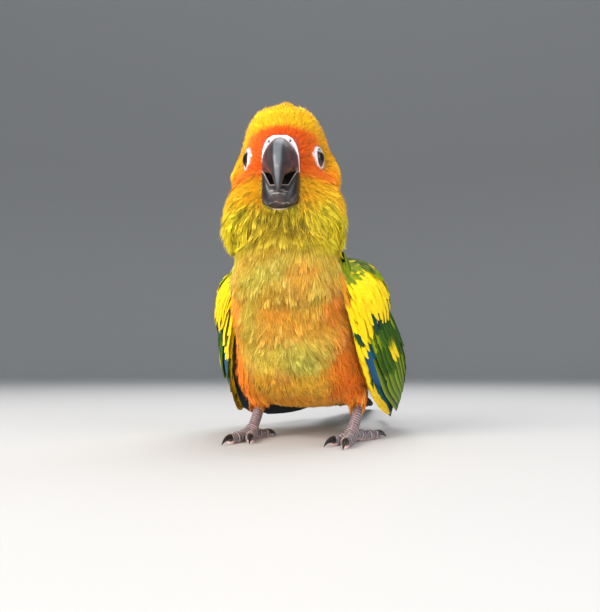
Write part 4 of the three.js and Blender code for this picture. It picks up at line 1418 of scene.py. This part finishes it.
def makeClaws(name):
    sides = footSizes["clawSides"]
    for digit, (_, _, radius) in toes.items():
        _, way, root = toeLine(legs[name], digit)
        tip, crest = (root + way * footSizes["claw"] * share for share in (0.82, 0.5))
        tip[2], crest[2] = 0.3, radius * 1.35
        start = root - way * 0.9
        u = np.linspace(0, 1, 30)
        k = u[:, None]
        line = start * (1 - k) ** 2 + crest * 2 * k * (1 - k) + tip * k**2
        radii = mix(1.3, 0.1, u**1.05) * (0.85 + 0.15 * ease(0, 0.1, u))
        shade = layered(footShades, "claw", ("clawRoot", 1 - ease(0.02, 0.14, u.repeat(sides))))
        claw = loft(f"claw_horn_{name}_{digit}", sweep(line, radii, sides, 0.0, flat=1.12), shade)
        setDown(claw, clawFinish, "claw", f"claw_{name}_{digit}")


def makeThigh(name, ankle, palm):
    # loose feathers of the thigh over the top of the shank
    vanes = Vanes()
    start, end = ankle + [0, -1.2, 2.6], palm + [0, 0.4, 1.6]
    down = unit(end - start)
    left = np.array([1.0, 0, 0])
    for k in range(footSizes["thighFeathers"]):
        turn = 2 * math.pi * (k + draw.random()) / footSizes["thighFeathers"]
        out = unit(np.cross(down, left)) * math.cos(turn) + left * math.sin(turn)
        root = start + out * (1.9 + 0.9 * draw.random()) - down * 3.0 * draw.random()
        long = 7.0 + 1.3 * draw.normal()
        sideways = unit(np.cross(down, out))

        def place(s):
            at = root + np.outer(s * long, down) + np.outer(0.8 * s - 0.5 * s * s, out)
            return at, np.tile(sideways, (len(s), 1)), np.tile(out, (len(s), 1))

        tone = mix(shades["flank"], shades["belly"], draw.random()) * (0.62 + 0.3 * draw.random())
        vanes.add(place, 0.8, long, featherLook(tone, shaft=0.95), rows=5, blunt=0.2, camber=0.05, thick=0.08)
    vanes.make(f"thigh_feathers_{name}", softPlumage, "plumage_breast")


for name, leg in legs.items():
    palm = np.array(leg["palm"], float)
    ankle = palm + [leg["side"] * 1.2, 13.5, 10]
    makeFootSkin(name, ankle, palm)
    makeClaws(name)
    makeThigh(name, ankle, palm)
    print("foot and claws made,", name)

# Folded wing: a bulged sheet between its leading edge and its edge along the back
wingSheet = {
    "low": [(18, -13, 56), (21.5, -10, 42), (24, -5, 28.5), (26, 7, 17.5), (28.5, 31, 9.5), (25.5, 66, 6),
            (16.5, 108, 4)],
    "high": [(14.5, 0, 67), (18, 12, 62), (18.5, 27, 54), (17, 45, 43), (14.5, 66, 30), (13.5, 88, 19),
             (14.5, 108, 11.5)],
    "bulge": [(3,), (6.5,), (10,), (12,), (9.5,), (4,), (1,)],
    "armAt": [0, 0.02, 0.06, 0.11, 0.16, 0.21, 0.25, 0.33],
    "armThick": [0.6, 3.2, 4.8, 5.2, 4.6, 3.4, 1.4, 0.0],
    "steps": 200, "rightOut": 1.5,
}
wingSteps = np.linspace(0, 1, wingSheet["steps"] + 1)
wingPaths = [Path(wingSheet[edge]) for edge in ("low", "high")]
lowLine, highLine = (np.array([path.at(t) for t in wingSteps]) for path in wingPaths)
lowWay, highWay = (np.array([path.heading(t) for t in wingSteps]) for path in wingPaths)
bulgeLine = np.array([rowsAt(wingSheet["bulge"], t)[0] for t in wingSteps])


def readLine(line, u):
    steps = wingSheet["steps"]
    u = np.clip(u, 0, 1) * steps
    i = np.clip(np.floor(u).astype(int), 0, steps - 1)
    w = (u - i)[..., None] if line.ndim > 1 else u - i
    return line[i] * (1 - w) + line[i + 1] * w


def wingFrame(u, chord, lift):
    # place, way across, way out and breadth, at a share along the wing and a distance up it
    u, chord = np.asarray(u, float), np.asarray(chord, float)
    low, high = readLine(lowLine, u), readLine(highLine, u)
    low = low + readLine(lowWay, u) * (np.minimum(u, 0) * 100)[..., None]
    high = high + readLine(highWay, u) * (np.minimum(u, 0) * 100)[..., None]
    span = high - low
    reach = np.linalg.norm(span, axis=-1)
    v = chord / reach
    way = unit(mix(readLine(lowWay, u), readLine(highWay, u), v[..., None]))
    out = unit(np.cross(way, span))
    out = out * np.where(out[..., :1] < 0, -1, 1)
    bulge = readLine(bulgeLine, u)
    inside = np.clip(v, 0, 1)
    at = low + span * v[..., None] + out * (bulge * np.sin(math.pi * inside))[..., None]
    slope = bulge * math.pi * np.cos(math.pi * inside) / reach
    across = unit(unit(span) + out * slope[..., None])
    up = unit(np.cross(way, across))
    up = up * np.where(up[..., :1] < 0, -1, 1)
    return at + up * np.asarray(lift, float)[..., None], across, up, reach


def wingReach(u):
    return float(wingFrame(np.array([u]), np.array([1.0]), np.array([0.0]))[3][0])


def armLift(u, chord, reach):
    thick = np.interp(u, wingSheet["armAt"], wingSheet["armThick"])
    v = np.clip(chord / reach, 0, 1)
    return 0.6 + thick * np.sqrt(np.maximum(1 - (2 * v - 1) ** 2, 0.0)) ** 0.8


def wingPlace(u0, u1, c0, c1, lift0, lift1, tilt, onArm=False, trim=2.0):
    # a feather from root to tip: shares along the wing, distances up it, lifts, and tilt over the next one
    lean = math.tan(math.radians(tilt))

    def place(s):
        u = mix(u0, u1, s)
        chord = mix(c0, c1, s)
        reach = wingFrame(u, chord, np.zeros_like(u))[3]
        if trim is not None:
            chord = np.minimum(chord, reach - trim)
        lift = mix(lift0, lift1, s)
        if onArm:
            lift = lift + armLift(u, chord, reach)
        at, across, up, _ = wingFrame(u, chord, lift)
        run = unit(np.gradient(at, axis=0))
        across = unit(unit(offAxis(across, run)) - up * lean)
        face = unit(np.cross(run, across))
        face = face * np.where((face * up).sum(-1, keepdims=True) < 0, -1, 1)
        return at, across, face

    return place


wingShades = palette(
    yellow=(246, 214, 26), deepYellow=(236, 186, 24), spotGreen=(46, 80, 26), coverts=(22, 60, 10),
    covertEdge=(84, 114, 16), blue=(40, 84, 132), teal=(26, 104, 108), black=(22, 24, 28), olive=(66, 104, 4),
    oliveEdge=(138, 152, 20), dusk=(26, 64, 50), scapular=(86, 118, 38), web=(150, 138, 52),
)


def flightRows(vanes):
    # primaries, then secondaries and the longest scapulars, each lying over the last
    c = wingShades
    for i in range(10):
        share = i / 9
        look = featherLook(mix(c["blue"], c["teal"], 0.2 + 0.7 * share), edge=c["teal"], tip=c["black"],
                           inner=c["black"], tipFrom=0.62, tone=vary(0.06))
        chord = 1.5 + 0.72 * i
        end = mix(0.975, 0.72, share) * vary(0.006)
        vanes.add(wingPlace(0.14, end, chord, chord + 0.8, 0.1 * share, 0.3, 22), 7.0 * vary(0.04), 95,
                  look, rows=22, blunt=0.74, splits=3, patch=(0.06 + 0.09 * i, 0.1))
    for i in range(14):
        share = i / 13
        look = featherLook(mix(c["coverts"], c["olive"], float(ease(0.0, 0.2, share))), edge=c["oliveEdge"],
                           tip=c["black"], inner=c["olive"] * 0.4, edgeFrom=0.8, tipFrom=0.84,
                           tone=vary(0.14))
        chord = 6.2 + 2.35 * i
        end = mix(0.78, 0.62, share) * vary(0.01)
        vanes.add(wingPlace(0.14, end, chord, chord - 1.0, 0.7 + 0.3 * share, 2.6, 15), 8.6 * vary(0.05), 60,
                  look, rows=16, blunt=0.8, splits=2, patch=(0.05 + 0.065 * i, 0.24))
    for i in range(4):
        look = featherLook(c["scapular"], edge=c["oliveEdge"], tip=c["coverts"] * 0.6, tone=vary(0.06))
        chord = 37.5 + 2.2 * i
        vanes.add(wingPlace(0.12, mix(0.56, 0.46, i / 3), chord, chord + 0.8, 2.6, 3.3, 12), 9.2, 45,
                  look, rows=14, blunt=0.78, splits=2, patch=(0.06 + 0.09 * i, 0.36))


def covertRows(vanes):
    # coverts over the primaries, then two rows over the secondaries
    c = wingShades
    for i in range(9):
        share = i / 8
        base = mix(c["blue"], c["teal"], 0.9 * share)
        look = featherLook(base, edge=base * 0.6, tip=base * 0.5, edgeFrom=0.75, tipFrom=0.9, tone=vary(0.1))
        chord = 0.8 + 0.6 * i
        vanes.add(wingPlace(0.12, mix(0.5, 0.41, share) * vary(0.03), chord, chord + 0.4, 1.4, 2.2, 18),
                  3.6 * vary(0.05), 30, look, blunt=0.74, patch=(0.06 + 0.09 * i, 0.48))
    for i in range(18):
        base = mix(c["coverts"], c["olive"], 0.6 * draw.random())
        bright = i in (3, 4) or draw.random() < 0.06
        look = featherLook(base, edge=c["covertEdge"], tip=c["yellow"] if bright else c["covertEdge"],
                           inner=base * 0.55, tipFrom=0.7 if bright else 0.93, tone=vary(0.14))
        chord = 5.6 + 2.05 * i
        vanes.add(wingPlace(0.11, mix(0.47, 0.37, i / 17) * vary(0.03), chord, chord, 2.0, 3.2, 14),
                  5.2 * vary(0.08), 30, look, blunt=0.7, patch=(0.05 + 0.05 * i, 0.6))
    for i in range(21):
        base = mix(c["coverts"], c["spotGreen"], draw.random()) if draw.random() > 0.25 else c["oliveEdge"]
        look = featherLook(base, edge=c["covertEdge"], tip=c["covertEdge"], tipFrom=0.86, tone=vary(0.14))
        chord = 4.6 + 1.85 * i
        vanes.add(wingPlace(0.12, mix(0.35, 0.3, i / 20) * vary(0.04), chord, chord, 2.2, 3.1, 14),
                  4.4 * vary(0.08), 20, look, rows=10, blunt=0.66, patch=(0.05 + 0.045 * i, 0.66))
    # a few yellow ones run on beside the leading edge
    for i in range(4):
        base = mix(c["yellow"], c["deepYellow"], 0.3 * draw.random())
        look = featherLook(base, tip=c["yellow"], tone=vary(0.05), shaft=0.88)
        vanes.add(wingPlace(0.16, 0.315 - 0.02 * i, 0.2 + 1.3 * i, 0.4 + 1.35 * i, 1.5, 2.6, 12, trim=0.5),
                  3.8 * vary(0.08), 14, look, rows=9, blunt=0.5, camber=0.08, thick=0.14, splits=2,
                  patch=(0.1 + 0.1 * i, 0.56))


# Small coverts down over the arm, row by row: root and tip along the wing, pitch, width and height
armRows = [
    (0.12, 0.252, 2.3, 4.9, 2.2), (0.105, 0.225, 2.2, 4.6, 1.9), (0.085, 0.198, 2.1, 4.4, 1.6),
    (0.062, 0.17, 2.0, 4.2, 1.3), (0.04, 0.142, 1.9, 4.0, 1.1), (0.016, 0.113, 1.85, 3.9, 0.9),
    (-0.008, 0.085, 1.8, 3.8, 0.7), (-0.032, 0.057, 1.8, 3.7, 0.55), (-0.055, 0.03, 1.7, 3.6, 0.45),
    (-0.075, 0.008, 1.7, 3.4, 0.3),
]


def armLook(row, chord, reach):
    # mostly yellow, spotted green towards the back, and green in the first and the last rows
    c = wingShades
    outer = chord / reach
    spotted = draw.random() < (0.45 if outer > 0.7 else 0.0) * (1.0 if row < 5 else 0.5)
    green = draw.random() < 0.85 * ease(0.78, 1.0, outer)
    base = c["spotGreen"] if spotted or green else mix(c["yellow"], c["deepYellow"], 0.35 * draw.random())
    tip = c["yellow"] if not spotted and not green else c["oliveEdge"]
    if row > 6:
        base, tip = mix(c["scapular"], c["oliveEdge"], draw.random()), c["oliveEdge"]
    if row == 0 and draw.random() < (0.8 if 4 < chord < 10 else 0.45):
        base, tip = (c["dusk"], c["spotGreen"]) if chord < 11 else (c["scapular"] * 0.8, c["covertEdge"])
    return featherLook(base, edge=mix(base, tip, 0.5), tip=tip, tipFrom=0.84, tone=vary(0.05), shaft=0.88)


def armCoverts(vanes):
    for row, (start, end, step, width, proud) in enumerate(armRows):
        reach = wingReach((start + end) / 2)
        for i in range(int((reach + 2.5) / step)):
            chord = -1.0 + step * (i + 0.5 * (row % 2)) + draw.normal(0, 0.25)
            look = armLook(row, chord, reach)
            tipChord = chord + draw.normal(0, 0.4)
            u0, u1 = start + 0.008 * draw.normal(), end + 0.01 * draw.normal()
            vanes.add(wingPlace(u0, u1, chord, tipChord, 0.1, proud, 9, onArm=True, trim=0.5),
                      width * vary(0.08), 12, look, rows=8, blunt=0.62, camber=0.06, thick=0.14,
                      patch=(0.04 + 0.045 * (i % 20), 0.7 + 0.025 * row))


def leadingEdge(vanes):
    # small yellow feathers in two lanes, green at the shoulder
    c = wingShades
    for i in range(47):
        u = -0.06 + 0.0135 * i
        for lane in range(2):
            chord = -2.7 + 1.7 * lane + draw.normal(0, 0.25)
            spot = draw.random() < 0.1 + 0.25 * ease(0.2, 0.3, u) * (1 - ease(0.34, 0.4, u))
            base = c["spotGreen"] if spot else mix(c["yellow"], c["deepYellow"],
                                                   0.5 * draw.random() + 0.4 * ease(0.3, 0.5, u))
            if u < 0.035:
                spot, base = True, mix(shades["flank"], shades["back"], draw.random())
            look = featherLook(base, tip=base if spot else c["yellow"], tone=vary(0.06), shaft=0.9)
            end, tipChord = u + 0.085 + 0.01 * draw.normal(), chord + 0.6 + 0.5 * draw.normal()
            vanes.add(wingPlace(u, end, chord, tipChord, 0.3, 1.2 + 0.4 * lane, 20 - 30 * lane, trim=None),
                      3.0 * vary(0.08), 9, look, rows=6, blunt=0.5, camber=0.08, thick=0.14,
                      patch=(0.04 + 0.021 * i, 0.96 + 0.015 * lane))


def scapulars(vanes):
    # from the back over the wing's upper edge
    c = wingShades
    for row in range(1, 8):
        for lane in range(6):
            u0 = -0.06 + 0.045 * row + 0.008 * draw.normal()
            chord = wingReach(max(u0, 0.0)) - 6.2 + (1.9 if row > 1 else 1.2) * lane + 0.3 * draw.normal()
            green = mix(c["scapular"], c["coverts"], 0.35 + 0.65 * draw.random())
            look = featherLook(mix(green, c["olive"], 0.4 * draw.random()), edge=c["oliveEdge"],
                               tip=c["deepYellow"] if draw.random() < 0.6 else c["oliveEdge"], edgeFrom=0.5,
                               tipFrom=0.74, tone=vary(0.1))
            u1 = u0 + 0.115 + 0.01 * draw.normal()
            low, high = 0.12 * row - 0.6 * (row < 2), 1.7 + 0.14 * row
            vanes.add(wingPlace(u0, u1, chord, chord + 0.6, low, high, 8, onArm=True, trim=None),
                      4.6 * vary(0.08), 12, look, rows=9, blunt=0.5, camber=0.07, thick=0.14, splits=2,
                      patch=(0.62 + 0.06 * lane, 0.3 + 0.02 * row))


def wingFlesh(name, mirror):
    # the flesh and down under the wing's feathers
    count = 18
    rings = []
    for u in np.linspace(-0.03, 0.6, 28):
        high = 0.93 if u < 0.3 else mix(0.93, 0.6, (u - 0.3) / 0.3)
        reach = wingReach(u)
        chord = np.linspace(0.06, high, count) * reach
        thin = 0.5 + 0.5 * math.sin(math.pi * min(max((u + 0.03) / 0.04, 0), 1) / 2)
        here = np.full(count, u)
        lift = (armLift(here, chord, reach) - 0.7) * thin if u < 0.3 else np.full(count, -0.3)
        top, under = (wingFrame(here, chord, height)[0] for height in (lift, np.full(count, -0.9)))
        rings.append(np.concatenate([top, under[::-1]]))
    rings = np.array(rings)
    if mirror is not None:
        rings = rings * [-1, 1, 1] + [mirror, 0, 0]
    colours = np.tile(wingShades["web"], (rings.shape[0] * rings.shape[1], 1))
    flesh = loft(f"wing_flesh_{name}", rings, colours)
    setDown(flesh, skinFinish, "plumage_wing")


for name, mirror in (("left", None), ("right", -wingSheet["rightOut"])):
    vanes = Vanes()
    for addSet in (flightRows, covertRows, armCoverts, leadingEdge, scapulars):
        addSet(vanes)
    wingFlesh(name, mirror)
    vanes.make(f"wing_feathers_{name}", flightPlumage, "plumage_wing", f"wing_{name}", mirror=mirror)

# Mantle and rump: rows of larger feathers down the back, each row over the next
mantle = {
    "from": 0.13, "to": 0.985, "rows": 24, "pitch": 3.9, "turn": math.radians(72), "width": 6.4,
    "length": 11.5, "stations": 9, "coat": 1.25, "proud": 0.75, "centre": paint(120, 138, 44),
    "edge": paint(236, 182, 52),
}
bodyLength = np.linalg.norm(np.diff(bodyLine, axis=0), axis=1).sum()


def backAt(t, turn, lift):
    # a place on the back: share along the body's line, turn from its top, and height over the skin
    inside = np.clip(t, 0, 1)
    line, heading, sizes = ([np.interp(inside, bodySteps, rows[:, k]) for k in range(3)]
                            for rows in (bodyLine, bodyHeading, bodySizes))
    line, heading, sizes = np.stack(line, -1), unit(np.stack(heading, -1)), np.stack(sizes, -1)
    dorsal = unit(np.cross([1.0, 0, 0], heading))
    wide, deep = np.sin(turn)[:, None], np.cos(turn)[:, None]
    out = unit(np.array([1.0, 0, 0]) * wide / sizes[:, :1] + dorsal * deep / sizes[:, 2:])
    at = line + [1.0, 0, 0] * wide * sizes[:, :1] + dorsal * deep * sizes[:, 2:]
    at = at + heading * (np.maximum(t - 1, 0) * bodyLength)[:, None]
    snapped, _ = onSkin(at)
    at = mix(snapped + out * mantle["coat"], at, ease(0.84, 0.92, t)[:, None])
    return at + out * np.asarray(lift, float)[:, None], out


def mantlePlace(t0, turn, length, proud):
    def place(s):
        t = t0 + s * length / bodyLength
        at, out = backAt(t, turn * (1 - 0.08 * s), mix(-0.7, proud, s))
        run = unit(np.gradient(at, axis=0))
        across = unit(np.cross(run, out))
        return at, across, unit(np.cross(across, run))

    return place


vanes = Vanes()
for row in range(mantle["rows"] - 1, -1, -1):
    share = row / (mantle["rows"] - 1)
    t0 = mix(mantle["from"], mantle["to"], share) - 0.5 * mantle["length"] / bodyLength
    half = float(np.interp(t0, bodySteps, bodySizes[:, 0]))
    count = max(3, int(2 * mantle["turn"] * half / mantle["pitch"]))
    for k in range(count):
        turn = mantle["turn"] * (2 * (k + 0.5 + 0.5 * (row % 2) - 0.25) / count - 1) + 0.03 * draw.normal()
        root = backAt(np.array([t0]), np.array([turn]), np.array([1.0]))[0]
        green = float(np.clip(0.55 + 0.5 * ripple(root, 9, 4.0)[0] + 0.25 * draw.normal(), 0.0, 0.85))
        base = mix(marking(root)[0], mantle["centre"], green * (1 - 0.55 * share))
        edge = mix(base, mantle["edge"], 0.55)
        look = featherLook(base, edge=edge, tip=edge, edgeFrom=0.45, tipFrom=0.7, tone=vary(0.09), shaft=0.85)
        size = mix(1.0, 0.8, share) * (1 + 0.08 * draw.normal())
        turns = np.full(mantle["stations"], turn)
        place = mantlePlace(t0, turns, mantle["length"] * size, mantle["proud"] * (1 + 0.3 * draw.random()))
        vanes.add(place, mantle["width"] * size, mantle["length"], look, rows=mantle["stations"], blunt=0.45,
                  camber=0.07, thick=0.13, splits=2,
                  patch=(0.06 + 0.9 * (k + 0.5) / count, 0.04 + 0.92 * share))
vanes.make("mantle_feathers", softPlumage, "plumage_breast")

# Tail: twelve graduated feathers from the root block, and the coverts over and under them
tailSizes = {
    "root": bodyPath.at(0.91), "pairs": 6, "length": 128, "shorter": 11.5, "width": 11.5, "narrower": 0.35,
    "step": 0.5, "slope": 0.158, "thick": 0.55,
}
tailShades = palette(
    green=(52, 92, 62), dark=(24, 34, 38), edge=(70, 110, 84), covert=(134, 146, 48),
    covertTip=(196, 170, 54),
)


def tailPlace(x, spread, length, drop, lift=0.0, along=0.0):
    # a feather from x at the root, spreading to its side as it runs back and down
    side = 1 if x >= 0 else -1
    start = tailSizes["root"] + [0, 2 + along, 3.2 - drop - tailSizes["slope"] * along]
    start[0] = x
    fall = min(start[2] - tailSizes["thick"] / 2, tailSizes["slope"] * length)

    def place(s):
        height = start[2] - fall * s + lift * s
        at = np.stack([start[0] + side * spread * s, start[1] + length * s, height], -1)
        run = unit(np.gradient(at, axis=0))
        across = np.tile([1.0, 0, 0], (len(s), 1))
        return at, unit(offAxis(across, run)), unit(np.cross(across, run))

    return place


c = tailShades
vanes = Vanes()
for pair in range(tailSizes["pairs"]):
    for side in (1, -1):
        look = featherLook(c["green"], edge=c["edge"], tip=c["dark"], inner=c["dark"], innerSide=-side,
                           tipFrom=0.55, edgeFrom=0.8, tone=vary(0.05))
        long = tailSizes["length"] - tailSizes["shorter"] * pair
        drop = (2 * pair + (side < 0)) * tailSizes["step"]
        vanes.add(tailPlace(side * (1.2 + 0.65 * pair), 0.3 + 0.45 * pair, long, drop),
                  tailSizes["width"] - tailSizes["narrower"] * pair, long, look, rows=26, blunt=0.6,
                  camber=0.03, thick=0.2, splits=4, patch=(0.08 + 0.08 * (2 * pair + (side > 0)), 0.2))
# rows over the tail: how far back they start, length, width and drop
upperCoverts = [(15.0, 19, 4.4, -0.9), (10.5, 18, 4.8, -1.3), (6.0, 17, 5.0, -1.8), (1.5, 16, 5.2, -2.3),
                (-3.0, 15, 5.4, -2.8)]
for row, (along, length, width, drop) in enumerate(upperCoverts):
    for i in range(7):
        x = (i - 3) * (1.6 - 0.1 * row)
        off = abs(x)
        base = mix(c["covert"], c["green"], 0.7 * draw.random() * (1 - 0.2 * row))
        look = featherLook(base, edge=c["covertTip"], tip=c["covertTip"], edgeFrom=0.5, tone=vary(0.09))
        vanes.add(tailPlace(x, off * 0.25, length - 0.9 * off, drop + 0.09 * x * x - 0.1 * (i % 2), 0.0,
                            along - 0.8 * off),
                  width, length, look, rows=9, blunt=0.5, camber=0.06, thick=0.14, splits=2,
                  patch=(0.08 + 0.1 * i, 0.5 + 0.045 * row))
# rows under it: how many, length and drop
for row, (count, length, drop) in enumerate([(7, 32, 11.0), (6, 24, 11.8)]):
    for i in range(count):
        x = (i - (count - 1) / 2) * 1.7
        off = abs(x)
        look = featherLook(mix(c["covert"], c["covertTip"], draw.random()), tip=c["covertTip"])
        vanes.add(tailPlace(x, off * 0.25, length - 2.0 * off, drop + 0.1 * (i % 2), 0.5, -8.0),
                  5.6, length, look, rows=8, blunt=0.55, camber=-0.06,
                  patch=(0.08 + 0.1 * i, 0.74 + 0.06 * row))
vanes.make("tail_feathers", flightPlumage, "plumage_tail", "tail")

# Floor, light and camera
studio = {
    "floor": (0.66, 0.65, 0.64), "wall": (0.53, 0.53, 0.525), "fade": (0.3, 1.2), "radius": 3.0, "bend": 1.6,
    "bendSteps": 24, "height": 3.0, "sides": 128, "sky": (0.72, 0.76, 0.82), "skyStrength": 0.74,
}
deselectAll()
bpy.ops.mesh.primitive_circle_add(vertices=studio["sides"], radius=studio["radius"], fill_type="NGON",
                                  location=(0, 0, 0))
floor = bpy.context.active_object
floor.name = "studio_floor"
bpy.ops.object.mode_set(mode="EDIT")
bpy.ops.mesh.select_mode(type="EDGE")
bpy.ops.mesh.select_all(action="SELECT")
reached = studio["radius"]
bendAngle = 90 / studio["bendSteps"]
step = studio["bend"] * math.radians(bendAngle)
for turn in range(studio["bendSteps"] + 1):
    # round the bend to the wall, then up it in one
    angle = math.radians(bendAngle * (turn + 0.5))
    bending = turn < studio["bendSteps"]
    out, rise = (step * math.cos(angle), step * math.sin(angle)) if bending else (0.0, studio["height"])
    bpy.ops.mesh.extrude_edges_move(TRANSFORM_OT_translate={"value": (0, 0, rise)})
    grown = (reached + out) / reached
    bpy.ops.transform.resize(value=(grown, grown, 1), center_override=(0, 0, 0))
    reached += out
bpy.ops.mesh.select_all(action="SELECT")
bpy.ops.mesh.normals_make_consistent(inside=True)
bpy.ops.object.mode_set(mode="OBJECT")
bpy.ops.object.shade_smooth()
floorFinish = Finish("studio_floor", Roughness=0.7)
speck = floorFinish.noise(14.0, 3.0)
near, far = studio["fade"]
away = floorFinish.node("ShaderNodeVectorMath", {"operation": "LENGTH"}, [floorFinish.place()],
                        output="Value")
away = ((away - near) * (1 / (far - near)) + speck * 0.04).maths("MINIMUM", 1.0).maths("MAXIMUM", 0.0)
floorFinish.feed("Base Color", floorFinish.blend(away, (*studio["floor"], 1), (*studio["wall"], 1)))
floor.data.materials.append(floorFinish.material)

world = bpy.data.worlds.new("studio")
bpy.context.scene.world = world
world.use_nodes = True
sky = world.node_tree.nodes["Background"].inputs
sky["Color"].default_value = (*studio["sky"], 1)
sky["Strength"].default_value = studio["skyStrength"]


def softLight(name, place, aim, size, power, colour):
    bpy.ops.object.light_add(type="AREA", location=place)
    lamp = bpy.context.active_object
    lamp.name = name
    lamp.data.shape = "RECTANGLE"
    lamp.data.size = size[0]
    lamp.data.size_y = size[1]
    lamp.data.energy = power
    lamp.data.color = colour
    lamp.rotation_euler = (Vector(aim) - Vector(place)).to_track_quat("-Z", "Y").to_euler()


softLight("key_light", (-0.45, -0.8, 0.5), (0, -0.06, 0.06), (0.5, 0.5), 7.9, (1.0, 0.97, 0.93))
softLight("fill_light", (0.8, -0.45, 0.35), (0, -0.06, 0.06), (0.6, 0.6), 2.6, (0.93, 0.96, 1.0))
softLight("top_light", (0.1, 0.25, 0.95), (0, -0.02, 0.05), (0.7, 0.7), 5.0, (1.0, 1.0, 1.0))
softLight("low_light", (-0.1, -0.9, 0.17), (0, -0.05, 0.04), (0.9, 0.16), 5.8, (1.0, 0.95, 0.9))

lens = {
    "azimuth": 14.0, "distance": 229.0, "height": 25.0, "pitch": 6.3, "aside": 0.5, "sensor": 36,
    "focal": 36 * 600 / 612,
}
azimuth, pitch = math.radians(lens["azimuth"]), math.radians(lens["pitch"])
inward = np.array([-math.sin(azimuth), math.cos(azimuth), 0])
rightward = np.array([math.cos(azimuth), math.sin(azimuth), 0])
cameraData = bpy.data.cameras.new("camera")
cameraData.lens = lens["focal"]
cameraData.sensor_width = lens["sensor"]
cameraData.clip_start = 0.005
camera = addObject("camera", cameraData)
camera.location = toMetres(-lens["distance"] * inward - lens["aside"] * rightward + [0, 0, lens["height"]])
looking = Vector(inward) * math.cos(pitch) + Vector((0, 0, math.sin(pitch)))
camera.rotation_euler = looking.to_track_quat("-Z", "Y").to_euler()
bpy.context.scene.camera = camera
bpy.context.scene.view_settings.view_transform = "Standard"
